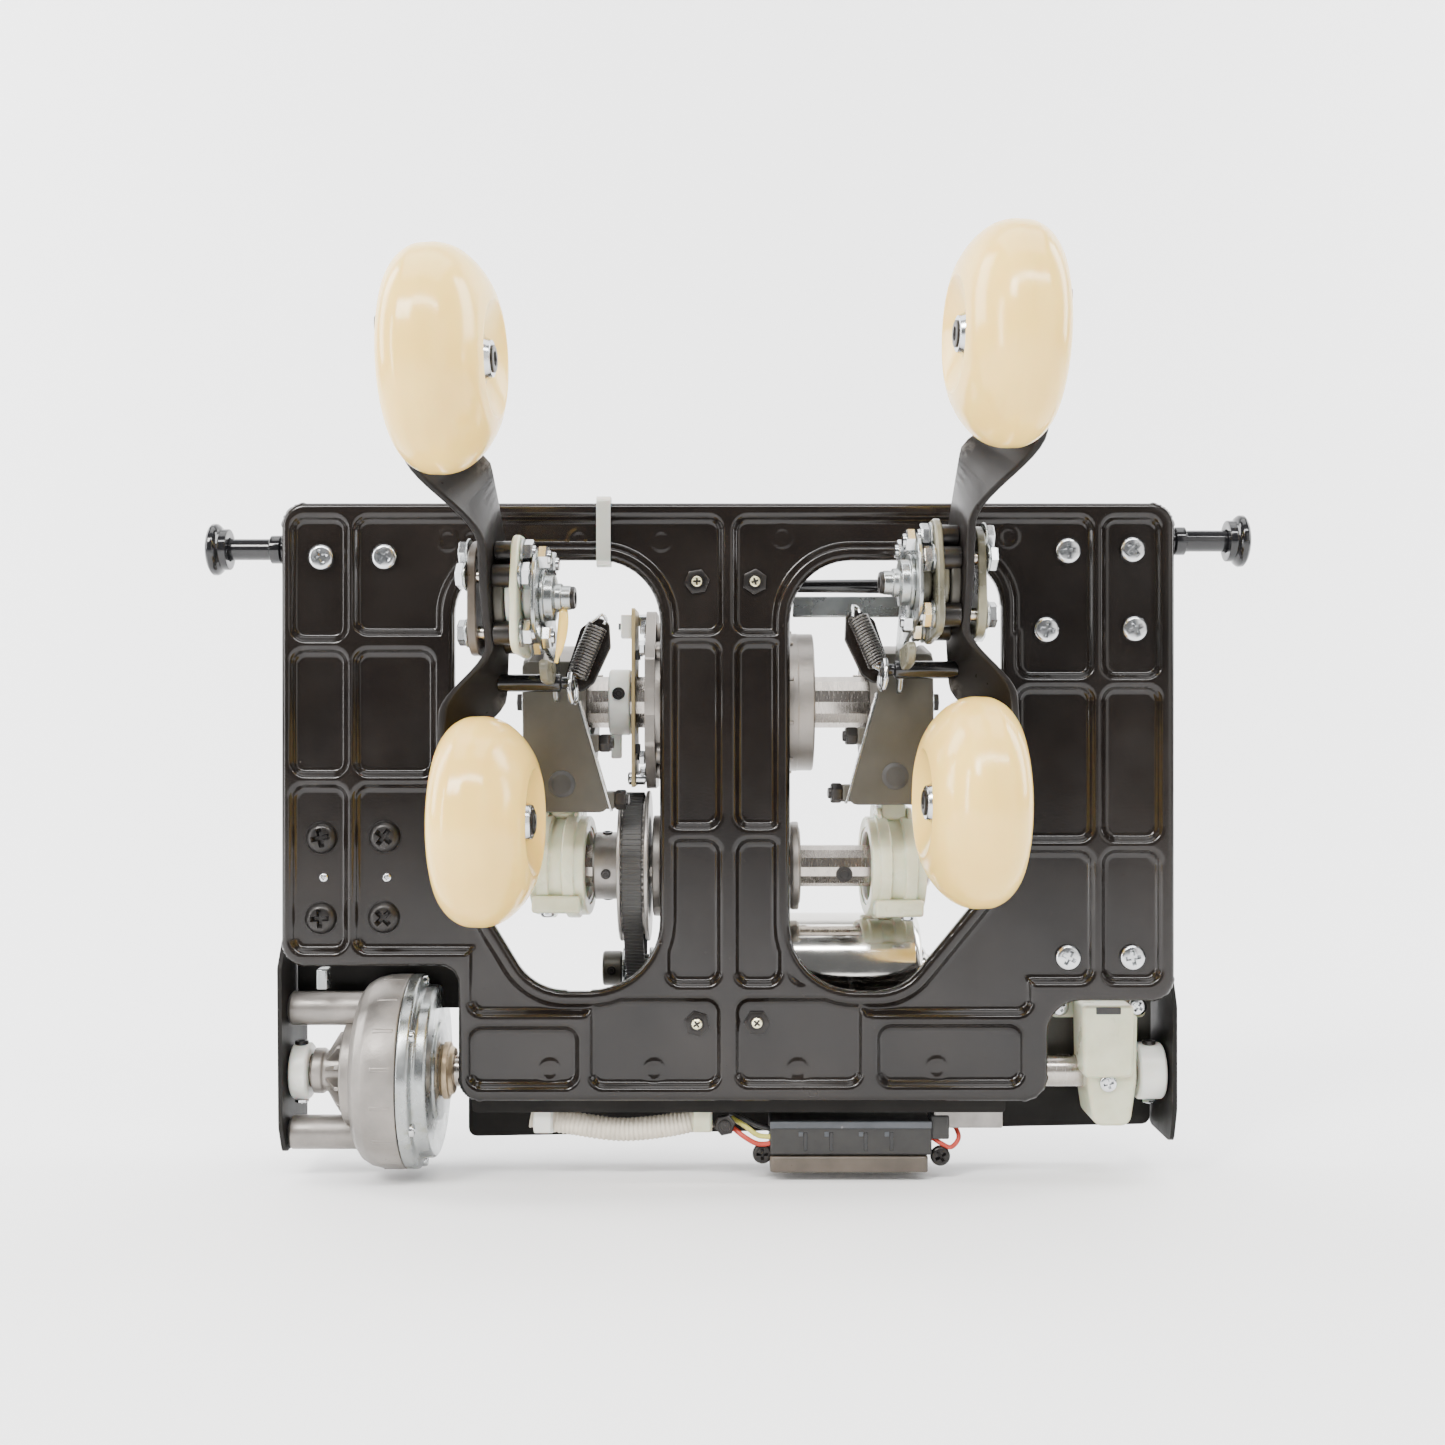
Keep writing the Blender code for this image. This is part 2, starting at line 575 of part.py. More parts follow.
ROLLER_PROFILE = [(5.4, 17), (33, 17), (37.4, 15.3), (41.6, 11.8), (44.4, 7), (45.2, 2.5), (44.9, -2.3),
                  (43, -7.9), (39.6, -12.8), (34.8, -17.2), (29, -20.7), (24.2, -22.4), (22, -21.9),
                  (12.6, -16), (5.4, -16)]
BOLT_PROFILE = [(0, 17.3), (5, 17.3), (5, -16.3), (10.6, -16.3), (10.6, -18.2), (6.8, -18.4), (6.8, -21),
                (5.8, -22), (0, -22)]


def mirrored(profile, side):
    return profile if side > 0 else [(radius, -axial) for radius, axial in reversed(profile)]


def build_side(side, name):
    hub = mount_point(f"{name}_hub_axis", (side * HUB_X, *KNEAD_AXIS), None, (0, 0, side * SPLAY))
    rock = mount_point(f"{name}_rock_axis", (0, 0, 0), hub, (side * ROCK_AT_REST * -1, 0, 0))
    pivot = mount_point(f"{name}_arm_axis", (side * PIVOT[0], PIVOT[1], PIVOT[2]), rock)

    turned(f"{name}_hub_housing", ring_profile(19.8, 27, -8.3, 8.3, 0.6), ALONG_X, cast_aluminium(), hub, steps=32)
    build_carrier(name, side, rock)
    build_rod(name, side, rock)

    arm = build_arm(f"{name}_arm", side, pivot)
    guard = rounded([(-19, -25, 12), (15, -25, 12), (19, 20, 12), (0, 25, 12), (-17, 22, 12)], 3)
    low, high = sorted((side * 10.4, side * 16.6))
    flat(f"{name}_arm_guard", [guard], low, high, PLANE_YZ, brown_nylon(), pivot)
    boss = turned(f"{name}_arm_boss", ring_profile(8, 17, *sorted((side * -1, side * 6))), ALONG_X, parent=pivot,
                  cutter=True)
    flange = [(8, -1.4), (18, -1.4), (18, -6.5), (22.5, -7), (22.5, -13), (8, -13)]
    turned(f"{name}_pivot_flange", mirrored(flange, side), ALONG_X, nylon(), pivot, steps=16)
    peg = turned(f"{name}_spring_peg", rod_profile(3, *sorted((side * 15, side * -27)), 0.5), ALONG_X,
                 parent=pivot, shift=(0, 12, -37), steps=10, cutter=True)
    joined(arm, boss, peg)
    for label, place in (("upper", UPPER_ROLLER), ("lower", LOWER_ROLLER)):
        axis = mount_point(f"{name}_{label}_roller_axis", (side * place[0], place[1], place[2]), pivot)
        turned(f"{name}_{label}_roller", mirrored(ROLLER_PROFILE, side), ALONG_X, cream_plastic(), axis)
        turned(f"{name}_{label}_bolt", mirrored(BOLT_PROFILE, side), ALONG_X, bright_steel(), axis, steps=12)
    build_spring(name, side, rock)


def build_carrier(name, side, parent):
    """Zinc bracket: two cheeks round the hub, a front web and the arm's pivot plate."""
    def span(label, loops, low, high, plane, cutter=True):
        if plane is PLANE_YZ:
            low, high = sorted((side * low, side * high))
        return flat(label, loops, low, high, plane, zinc(), parent, cutter)

    def wall(label, low, high, cutter):
        cheek = rounded([(-42, 20, 4), (-20, 26, 8), (14, 24, 16), (26, 8, 16), (26, -14, 12), (12, -46, 10),
                         (-14, -46, 8), (-42, -49, 4)], 3)
        return span(label, [cheek, circle((0, 0), 17)], low, high, PLANE_YZ, cutter)

    carrier = wall(f"{name}_carrier", -12.5, -10, False)
    outer = wall(f"{name}_outer_cheek", 10, 12.5, True)
    web = [(side * outward, z) for outward, z in ((12.5, 20), (12.5, -49), (-28, -49), (-13.4, 0), (-12.5, 20))]
    front = span(f"{name}_web", [web], -44, -41, PLANE_XZ)
    reach_y, reach_z = PIVOT[1], PIVOT[2]
    plate = rounded([(reach_y - 21, reach_z - 14, 12), (reach_y - 19, reach_z + 20, 16),
                     (reach_y + 12, reach_z + 22, 14), (-41, 20, 6), (-41, -10, 4), (reach_y + 24, reach_z - 27, 6),
                     (reach_y + 8, reach_z - 22, 8)], 3)
    pivot_plate = span(f"{name}_pivot_plate", [plate], PIVOT[0] - 17.5, PIVOT[0] - 13.4, PLANE_YZ)
    pin = turned(f"{name}_rod_pin", rod_profile(4, -11.5, 11.5), ALONG_X, parent=parent, steps=12,
                 shift=(0, 0, ROD_PIN_Z), cutter=True)
    bolt = [(0, -16), (10, -16), (10, -21.5), (6, -22), (6, -28), (0, -28)]
    stud = turned(f"{name}_pivot_stud", mirrored(bolt, side), ALONG_X, parent=parent, steps=12,
                  shift=(side * PIVOT[0], PIVOT[1], PIVOT[2]), cutter=True)
    ear = [(side * outward, z) for outward, z in ((-5, 40), (-30, 40), (-26, 4), (-5, 2))]
    spring_ear = span(f"{name}_spring_ear", [ear], -46.5, -43.5, PLANE_XZ)
    joined(carrier, outer, front, pivot_plate, pin, stud, spring_ear)


def build_rod(name, side, parent):
    """Connecting rod: an eye on the carrier's pin and a big end round the tapping eccentric."""
    drop = TAP_AXIS[1] - KNEAD_AXIS[1] - ROD_PIN_Z
    back = TAP_AXIS[0] - KNEAD_AXIS[0]
    lift = math.asin(-ROD_PIN_Z * math.sin(ROCK_AT_REST) / abs(drop))
    axis = mount_point(f"{name}_rod_axis", (0, 0, ROD_PIN_Z), parent, (side * (ROCK_AT_REST + lift), 0, 0))
    big = turned(f"{name}_rod", ring_profile(18.5, 25, -13, 13, 1.2), ALONG_X, nylon(), axis,
                 shift=(0, back, drop), steps=16)
    eye = turned(f"{name}_rod_eye", ring_profile(4.4, 8, -7, 7), ALONG_X, parent=axis, steps=12, cutter=True)
    link = box(f"{name}_rod_link", (-6, 6), (back / 2 - 6, back / 2 + 6), (drop + 21.5, -6), parent=axis,
               cutter=True)
    joined(big, eye, link)


def build_spring(name, side, parent):
    """Tension spring from the bracket to the arm's peg, one closed solid of its outer shape."""
    start = (side * -23, -50.5, 36)
    end = (side * -17.5, -64.5, 17.5)
    curve = bpy.data.curves.new(f"{name}_spring", "CURVE")
    curve.dimensions = "3D"
    curve.bevel_depth = 3.6
    curve.bevel_resolution = 2
    curve.use_fill_caps = True
    spline = curve.splines.new("POLY")
    spline.points.add(1)
    for point, place in zip(spline.points, (start, end)):
        point.co = (*place, 1.0)
    mesh = evaluated_mesh(bpy.data.objects.new(f"{name}_spring", curve), f"{name}_spring")
    finish_mesh(mesh, ALONG_Z, (0, 0, 0))
    solid(f"{name}_spring", mesh, black_paint(), parent)


build_front_plate()
build_chassis()
build_gearbox()
build_tapping_drive()
build_lift_drive()
build_wiring()
build_kneading_shaft()
build_side(-1, "left")
build_side(1, "right")
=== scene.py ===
"""Looks of the back massage mechanism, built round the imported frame."""
import json
import math

import bmesh
import bpy
import numpy as np
from mathutils import Matrix, Vector


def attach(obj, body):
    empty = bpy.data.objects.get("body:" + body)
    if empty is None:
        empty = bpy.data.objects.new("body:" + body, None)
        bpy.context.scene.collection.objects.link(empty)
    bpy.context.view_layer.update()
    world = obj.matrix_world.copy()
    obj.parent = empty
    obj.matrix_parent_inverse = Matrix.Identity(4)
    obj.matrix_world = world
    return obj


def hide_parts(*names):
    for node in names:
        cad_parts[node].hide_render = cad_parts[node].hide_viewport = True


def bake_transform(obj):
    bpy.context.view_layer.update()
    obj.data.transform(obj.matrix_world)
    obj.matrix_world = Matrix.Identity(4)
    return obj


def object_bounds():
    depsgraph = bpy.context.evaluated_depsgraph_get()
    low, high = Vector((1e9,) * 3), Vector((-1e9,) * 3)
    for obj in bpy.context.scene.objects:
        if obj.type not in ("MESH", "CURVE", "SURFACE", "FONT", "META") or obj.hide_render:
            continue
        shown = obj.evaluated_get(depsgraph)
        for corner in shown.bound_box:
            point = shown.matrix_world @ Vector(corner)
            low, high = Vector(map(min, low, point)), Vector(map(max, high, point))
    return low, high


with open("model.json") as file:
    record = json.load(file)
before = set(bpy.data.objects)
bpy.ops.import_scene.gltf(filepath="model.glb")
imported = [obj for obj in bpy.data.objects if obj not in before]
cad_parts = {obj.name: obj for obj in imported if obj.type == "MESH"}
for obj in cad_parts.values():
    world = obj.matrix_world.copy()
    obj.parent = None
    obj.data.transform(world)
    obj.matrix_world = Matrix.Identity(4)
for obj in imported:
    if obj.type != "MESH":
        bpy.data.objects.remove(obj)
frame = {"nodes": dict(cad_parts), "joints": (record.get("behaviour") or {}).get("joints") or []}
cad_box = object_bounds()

MM = 0.001
JOINTS = {joint["name"]: joint for joint in frame["joints"]}
SPLAY = math.radians(4.5)       # each side's turn about z
ROCK = math.radians(2.4)        # each carrier's rock at rest
PIVOT = (10.6, -82.1, 47.6)     # arm stud, from the hub
UPPER = (12.8, -66.0, 91.9)     # upper and lower roller, from the arm stud
LOWER = (7.9, -17.5, -95.4)
SPRING_RADIUS = 4.1
SPRING_TURNS = 17
BELT_TEETH = 96
ARM_HALF = 1.9                  # half the arm bar's thickness
ARM_ROUND = 1.2                 # rounding of its edges
CAMERA_DISTANCE = 0.8
CAMERA_HEIGHT = -0.083
FINISH = {}


# ------------------------------------------------------------------ materials
class Finish:
    """A node material built up in steps; coordinates are the object's own, in metres."""

    def __init__(self, name, colour, roughness, metallic=0.0):
        self.name, self.colour, self.roughness = name, colour, roughness
        self.material = bpy.data.materials.new(name)
        self.material.use_nodes = True
        self.tree = self.material.node_tree
        self.shader = self.tree.nodes["Principled BSDF"]
        self.shader.inputs["Metallic"].default_value = metallic
        self.coordinates = self.node("TexCoord")
        self.colour_out = None
        self.normal_out = None

    def set(self, socket, value):
        self.feed(self.shader, socket, value)
        return self

    def feed(self, node, socket, value):
        """Gives a node's input a value, or joins another node's output to it."""
        if isinstance(value, bpy.types.NodeSocket):
            self.tree.links.new(value, node.inputs[socket])
        else:
            node.inputs[socket].default_value = value

    def node(self, kind, **inputs):
        node = self.tree.nodes.new("ShaderNode" + kind)
        for socket, value in inputs.items():
            self.feed(node, socket.replace("_", " "), value)
        return node

    def blend(self, mask, first, second, kind="MIX"):
        node = self.node("Mix")
        node.data_type = "RGBA"
        node.blend_type = kind
        for socket, value in (("Factor", mask), ("A", first), ("B", second)):
            self.feed(node, socket, value)
        return node.outputs["Result"]

    def noise(self, scale, stretch=(1, 1, 1), detail=4.0, rough=0.55):
        mapping = self.node("Mapping", Scale=stretch, Vector=self.coordinates.outputs["Object"])
        texture = self.node("TexNoise", Scale=scale, Detail=detail, Roughness=rough, Vector=mapping.outputs["Vector"])
        return texture.outputs["Fac"]

    def ramp(self, source, start, end, low=(0, 0, 0), high=(1, 1, 1)):
        ramp = self.node("ValToRGB", Fac=source)
        for element, position, colour in zip(ramp.color_ramp.elements, (start, end), (low, high)):
            element.position = position
            element.color = (*colour, 1)
        return ramp.outputs["Color"]

    def mottle(self, amount, scale, stretch=(1, 1, 1), tint=None):
        """Colour drifting between a darker and a lighter shade."""
        low = tuple(max(0.0, channel * (1 - amount)) for channel in (tint or self.colour))
        high = tuple(min(1.0, channel * (1 + amount)) for channel in self.colour)
        self.colour_out = self.ramp(self.noise(scale, stretch), 0.3, 0.7, low, high)
        return self

    def specks(self, colour, scale, start, end):
        """Marks of another colour where a noise is high."""
        mask = self.ramp(self.noise(scale, detail=6.0), start, end)
        self.colour_out = self.blend(mask, self.colour_out, (*colour, 1))
        return self

    def worn(self, colour, start, end):
        """Another colour on the convex edges, broken up by a noise."""
        edge = self.ramp(self.node("NewGeometry").outputs["Pointiness"], start, end)
        patches = self.ramp(self.noise(220, detail=5), 0.42, 0.6)
        mask = self.blend(1.0, edge, patches, "MULTIPLY")
        self.colour_out = self.blend(mask, self.colour_out, (*colour, 1))
        return self

    def bump(self, scale, strength, distance, stretch=(1, 1, 1)):
        node = self.node("Bump", Strength=strength, Distance=distance, Height=self.noise(scale, stretch, 3.0))
        if self.normal_out is not None:
            self.feed(node, "Normal", self.normal_out)
        self.normal_out = node.outputs["Normal"]
        return self

    def done(self, spread, scale, stretch=(1, 1, 1)):
        """Roughness drifts by spread either way; everything is joined to the shader."""
        spot = self.node("MapRange", From_Min=0.3, From_Max=0.7, To_Min=max(0.02, self.roughness - spread),
                To_Max=min(1.0, self.roughness + spread), Value=self.noise(scale, stretch))
        self.set("Roughness", spot.outputs["Result"]).set("Base Color", self.colour_out)
        if self.normal_out is not None:
            self.set("Normal", self.normal_out)
        FINISH[self.name] = self.material


def make_finishes():
    (Finish("black_paint", (0.010, 0.0078, 0.0065), 0.17).mottle(0.30, 18, tint=(0.007, 0.0052, 0.0044))
         .specks((0.07, 0.062, 0.055), 420, 0.71, 0.78).bump(900, 0.12, 0.0001).set("Specular IOR Level", 0.38)
         .done(0.05, 30))
    (Finish("side_paint", (0.012, 0.011, 0.010), 0.55).mottle(0.3, 30).bump(900, 0.2, 0.0001)
         .set("Specular IOR Level", 0.12).done(0.08, 40))
    (Finish("gloss_black", (0.010, 0.010, 0.011), 0.12).mottle(0.3, 90).bump(500, 0.06, 0.0001).done(0.05, 80))
    (Finish("worn_black", (0.011, 0.0095, 0.0088), 0.34).mottle(0.3, 25).worn((0.42, 0.40, 0.38), 0.54, 0.62)
         .bump(700, 0.15, 0.0001).set("Specular IOR Level", 0.15).done(0.08, 40))
    (Finish("black_oxide", (0.022, 0.020, 0.019), 0.33, 0.6).mottle(0.3, 90).bump(1500, 0.1, 0.0001).done(0.08, 120))
    (Finish("cast_aluminium", (0.27, 0.25, 0.23), 0.42, 0.75).mottle(0.14, 45, tint=(0.21, 0.195, 0.18))
         .specks((0.22, 0.20, 0.18), 300, 0.64, 0.74).bump(1100, 0.35, 0.0002).bump(260, 0.25, 0.0003).done(0.10, 90))
    (Finish("zinc", (0.33, 0.345, 0.345), 0.28, 0.92).mottle(0.18, 60, (1, 0.4, 1))
         .specks((0.30, 0.31, 0.27), 140, 0.55, 0.70).bump(900, 0.12, 0.0001).done(0.10, 80))
    # zinc darkened far below the bright zinc: partly its own dull finish, partly painted shade, since the carriers
    # stand in shadow
    (Finish("dull_and_shaded_zinc", (0.062, 0.058, 0.048), 0.42, 0.35).mottle(0.14, 40).bump(1400, 0.2, 0.0001).done(0.08, 70))
    (Finish("bright_steel", (0.42, 0.385, 0.35), 0.24, 1.0).mottle(0.10, 60, (6, 1, 1))
         .bump(500, 0.10, 0.0001, (12, 1, 1)).done(0.06, 220, (8, 1, 1)))
    (Finish("screw_steel", (0.56, 0.57, 0.58), 0.20, 1.0).mottle(0.06, 240).done(0.05, 300))
    (Finish("motor_silver", (0.66, 0.64, 0.60), 0.13, 1.0).mottle(0.08, 35).specks((0.50, 0.46, 0.38), 70, 0.62, 0.80)
         .bump(120, 0.10, 0.0004).done(0.06, 40))
    (Finish("nylon", (0.56, 0.57, 0.43), 0.32).mottle(0.08, 55, tint=(0.50, 0.50, 0.34)).bump(700, 0.12, 0.0001)
         .set("Subsurface Weight", 0.35).set("Subsurface Scale", 0.004).done(0.08, 60))
    (Finish("white_nylon", (0.64, 0.645, 0.60), 0.34).mottle(0.05, 60).bump(800, 0.10, 0.0001)
         .set("Subsurface Weight", 0.25).set("Subsurface Scale", 0.003).done(0.08, 60))
    (Finish("olive_nylon", (0.155, 0.145, 0.10), 0.30).mottle(0.25, 60, tint=(0.09, 0.085, 0.06))
         .bump(700, 0.15, 0.0001).done(0.09, 80))
    (Finish("spring_steel", (0.10, 0.095, 0.09), 0.24, 0.9).mottle(0.2, 200).bump(1200, 0.1, 0.0001).done(0.06, 200))
    (Finish("sintered", (0.30, 0.285, 0.27), 0.42, 0.85).mottle(0.14, 120).bump(1600, 0.25, 0.0001).done(0.08, 150))
    (Finish("brown_nylon", (0.085, 0.068, 0.052), 0.36).mottle(0.25, 70).bump(700, 0.15, 0.0001).done(0.09, 80))
    (Finish("cream_plastic", (0.92, 0.63, 0.17), 0.18).mottle(0.05, 14, tint=(0.86, 0.56, 0.14))
         .specks((0.66, 0.46, 0.25), 65, 0.72, 0.86).bump(90, 0.05, 0.0004).set("Subsurface Weight", 0.20)
         .set("Subsurface Scale", 0.004).done(0.04, 50))
    (Finish("black_rubber", (0.022, 0.021, 0.020), 0.55).mottle(0.35, 160).bump(1600, 0.25, 0.0001).done(0.10, 160))
    (Finish("brass", (0.46, 0.36, 0.24), 0.42, 0.8).mottle(0.2, 130).bump(1200, 0.25, 0.0001).done(0.10, 160))
    (Finish("gold_bolt", (0.78, 0.74, 0.50), 0.26, 0.6).mottle(0.15, 200).bump(1500, 0.1, 0.0001).done(0.08, 240))
    (Finish("grey_plastic", (0.055, 0.060, 0.068), 0.52).mottle(0.2, 90).specks((0.22, 0.22, 0.23), 260, 0.66, 0.76)
         .bump(1300, 0.3, 0.0001).done(0.1, 100))
    (Finish("board", (0.34, 0.26, 0.12), 0.45).mottle(0.15, 120).bump(900, 0.1, 0.0001).done(0.08, 100))
    (Finish("sleeve", (0.62, 0.56, 0.46), 0.72).mottle(0.12, 90).specks((0.42, 0.30, 0.22), 160, 0.66, 0.80)
         .bump(900, 0.5, 0.0003, (6, 1, 6)).done(0.08, 120))
    wires = {"wire_red": (0.42, 0.035, 0.02), "wire_yellow": (0.50, 0.46, 0.10), "wire_black": (0.018, 0.018, 0.018)}
    for name, colour in wires.items():
        Finish(name, colour, 0.4).mottle(0.15, 200).bump(900, 0.1, 0.0001).done(0.08, 150)


make_finishes()


# ------------------------------------------------------------------ frames and builders
def at(x=0.0, y=0.0, z=0.0):
    return Matrix.Translation((x, y, z))


def turn(axis, degrees):
    return Matrix.Rotation(math.radians(degrees), 4, axis)


def joint_frame(name, side=0, rock=True):
    """A millimetre frame on a joint's axis; on a side it carries the splay and the rock at rest."""
    place = Matrix.Translation(Vector(JOINTS[name]["pos_m"]) / MM)
    if side:
        place = place @ Matrix.Rotation(side * SPLAY, 4, "Z")
        if rock:
            place = place @ Matrix.Rotation(-side * ROCK, 4, "X")
    return place


TO_X = Matrix(((0, 0, 1, 0), (1, 0, 0, 0), (0, 1, 0, 0), (0, 0, 0, 1)))    # local z along x
TO_Y = Matrix(((1, 0, 0, 0), (0, 0, -1, 0), (0, 1, 0, 0), (0, 0, 0, 1)))   # local z along -y, local y up
IDENTITY = Matrix.Identity(4)
OUTWARD = {1: IDENTITY, -1: turn("Z", 180)}     # local x away from the middle, on each side
INWARD = {1: turn("Z", 180), -1: IDENTITY}


def add_object(name, data):
    item = bpy.data.objects.new(name, data)
    bpy.context.scene.collection.objects.link(item)
    return item


def skin(work, rings, closed=False):
    """Quads between neighbouring rings, with a face over each end unless the rings meet again."""
    size = len(rings[0])
    for first, second in zip(rings, rings[1:] + (rings[:1] if closed else [])):
        for k in range(size):
            work.faces.new((first[k], first[(k + 1) % size], second[(k + 1) % size], second[k]))
    if not closed:
        work.faces.new(rings[0])
        work.faces.new(rings[-1])


def bevelled(piece, width, segments, angle):
    edges = piece.modifiers.new("edges", "BEVEL")
    edges.width = width * MM
    edges.segments = segments
    edges.limit_method = "ANGLE"
    edges.angle_limit = math.radians(angle)


def emit(name, work, place, finish, body, replaces=(), bevel=0.0, angle=35, segments=2):
    """Turns a bmesh in millimetres into a piece that rides on a body."""
    bmesh.ops.remove_doubles(work, verts=work.verts, dist=1e-4)
    bmesh.ops.transform(work, matrix=Matrix.Scale(MM, 4) @ place, verts=work.verts)
    bmesh.ops.recalc_face_normals(work, faces=work.faces)
    mesh = bpy.data.meshes.new(name)
    work.to_mesh(mesh)
    work.free()
    mesh.shade_smooth()
    piece = add_object(name, mesh)
    mesh.materials.append(FINISH[finish])
    if bevel:
        bevelled(piece, bevel, segments, angle)
    mesh.set_sharp_from_angle(angle=math.radians(angle if not bevel else 60))
    if body:
        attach(piece, body)
    if replaces:
        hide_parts(*replaces)
    return piece


def arc(centre, radius, start, end, steps):
    return [(centre[0] + radius * math.cos(start + (end - start) * i / steps),
            centre[1] + radius * math.sin(start + (end - start) * i / steps)) for i in range(steps + 1)]


def circle(p, q, radius, steps=40):
    return arc((p, q), radius, 0.0, 2 * math.pi, steps)[:-1]


def rounded(corners, steps=6):
    points = []
    count = len(corners)
    for i, (p, q, radius) in enumerate(corners):
        before = corners[i - 1]
        after = corners[(i + 1) % count]
        if radius <= 0:
            points.append((p, q))
            continue
        to_before = math.atan2(before[1] - q, before[0] - p)
        to_after = math.atan2(after[1] - q, after[0] - p)
        sweep = (to_after - to_before + math.pi) % (2 * math.pi) - math.pi
        half = abs(sweep) / 2
        reach = radius / math.tan(half)
        middle = to_before + sweep / 2
        centre = (p + radius / math.sin(half) * math.cos(middle), q + radius / math.sin(half) * math.sin(middle))
        first = (p + reach * math.cos(to_before), q + reach * math.sin(to_before))
        start = math.atan2(first[1] - centre[1], first[0] - centre[0])
        points += arc(centre, radius, start, start - math.copysign(math.pi - 2 * half, sweep), steps)
    return points


def frame_loop(p0, p1, q0, q1, radius=0.0, steps=5):
    return rounded([(p0, q0, radius), (p1, q0, radius), (p1, q1, radius), (p0, q1, radius)], steps)


def fillet(profile, radius=0.5, steps=3, closed=True):
    """Rounds a (radius, axial) profile's corners."""
    points = []
    count = len(profile)
    for i, (p, q) in enumerate(profile):
        if not closed and i in (0, count - 1) or p == 0:
            points.append((p, q))
            continue
        a = Vector(profile[i - 1])
        b = Vector(profile[(i + 1) % count])
        c = Vector((p, q))
        into = (a - c)
        out = (b - c)
        if into.length < 1e-6 or out.length < 1e-6 or abs(into.angle(out) - math.pi) < math.radians(12):
            points.append((p, q))
            continue
        reach = min(radius, into.length * 0.45, out.length * 0.45)
        start = c + into.normalized() * reach
        end = c + out.normalized() * reach
        for k in range(steps + 1):
            t = k / steps
            points.append(tuple(start.lerp(c, t).lerp(c.lerp(end, t), t)))
    return points


def lathe(name, profile, place, finish, body, replaces=(), steps=72, round_by=0.5):
    """A (radius, axial) profile turned round local x; profiles that start and end on the axis stay open."""
    on_axis = profile[0][0] == 0 and profile[-1][0] == 0
    shape = fillet(profile, round_by, closed=not on_axis)
    work = bmesh.new()
    rings = []
    for radius, axial in shape:
        if radius < 1e-6:
            rings.append([work.verts.new((axial, 0, 0))] * steps)
        else:
            rings.append([work.verts.new((axial, radius * math.cos(2 * math.pi * k / steps),
                    radius * math.sin(2 * math.pi * k / steps))) for k in range(steps)])
    pairs = list(zip(rings, rings[1:]))
    if not on_axis:
        pairs.append((rings[-1], rings[0]))
    for first, second in pairs:
        for k in range(steps):
            quad = []
            for vert in (first[k], first[(k + 1) % steps], second[(k + 1) % steps], second[k]):
                if vert not in quad:
                    quad.append(vert)
            if len(quad) > 2:
                work.faces.new(quad)
    return emit(name, work, place, finish, body, replaces, angle=38)


def ring(inner, outer, low, high, chamfer=0.6):
    return [(inner, high), (outer - chamfer, high), (outer, high - chamfer), (outer, low + chamfer),
            (outer - chamfer, low), (inner, low)]


def bar(radius, low, high, chamfer=0.6):
    return [(0, high), (radius - chamfer, high), (radius, high - chamfer), (radius, low + chamfer),
            (radius - chamfer, low), (0, low)]


def mirrored(profile, side):
    return profile if side > 0 else [(radius, -axial) for radius, axial in reversed(profile)]


def slab_mesh(loops, low, high):
    """A filled outline with holes, extruded from low to high along local z."""
    curve = bpy.data.curves.new("outline", "CURVE")
    curve.dimensions = "2D"
    curve.fill_mode = "BOTH"
    curve.extrude = (high - low) / 2
    for loop in loops:
        spline = curve.splines.new("POLY")
        spline.points.add(len(loop) - 1)
        for point, (p, q) in zip(spline.points, loop):
            point.co = (p, q, 0.0, 1.0)
        spline.use_cyclic_u = True
    helper = add_object("outline", curve)
    depsgraph = bpy.context.evaluated_depsgraph_get()
    mesh = bpy.data.meshes.new_from_object(helper.evaluated_get(depsgraph))
    bpy.data.objects.remove(helper, do_unlink=True)
    bpy.data.curves.remove(curve)
    work = bmesh.new()
    work.from_mesh(mesh)
    bpy.data.meshes.remove(mesh)
    bmesh.ops.remove_doubles(work, verts=work.verts, dist=1e-4)
    bmesh.ops.dissolve_limit(work, angle_limit=0.01, verts=work.verts, edges=work.edges)
    bmesh.ops.translate(work, vec=(0, 0, (low + high) / 2), verts=work.verts)
    return work


def slab(name, loops, low, high, place, finish, body, replaces=(), bevel=0.4, plane="YZ"):
    """Plane YZ: outline (y, z) and thickness along x; XZ: outline (x, z), thickness along -y from low to high."""
    work = slab_mesh(loops, min(low, high), max(low, high))
    lay = {"YZ": TO_X, "XZ": TO_Y, "XY": IDENTITY}[plane]
    return emit(name, work, place @ lay, finish, body, replaces, bevel, 30)


def block(name, x, y, z, place, finish, body, replaces=(), bevel=0.8):
    work = bmesh.new()
    bmesh.ops.create_cube(work, size=1.0)
    bmesh.ops.scale(work, vec=[pair[1] - pair[0] for pair in (x, y, z)], verts=work.verts)
    bmesh.ops.translate(work, vec=[(pair[0] + pair[1]) / 2 for pair in (x, y, z)], verts=work.verts)
    return emit(name, work, place, finish, body, replaces, bevel, segments=3)


def smooth_path(points, count):
    """A Catmull-Rom curve through the points."""
    pts = [Vector(p) for p in points]
    pts = [pts[0] * 2 - pts[1]] + pts + [pts[-1] * 2 - pts[-2]]
    result = []
    spans = len(pts) - 3
    for i in range(count + 1):
        position = i / count * spans
        k = min(int(position), spans - 1)
        t = position - k
        a, b, c, d = pts[k:k + 4]
        result.append(0.5 * (2 * b + (c - a) * t + (2 * a - 5 * b + 4 * c - d) * t * t
                             + (3 * b - a - 3 * c + d) * t ** 3))
    return result


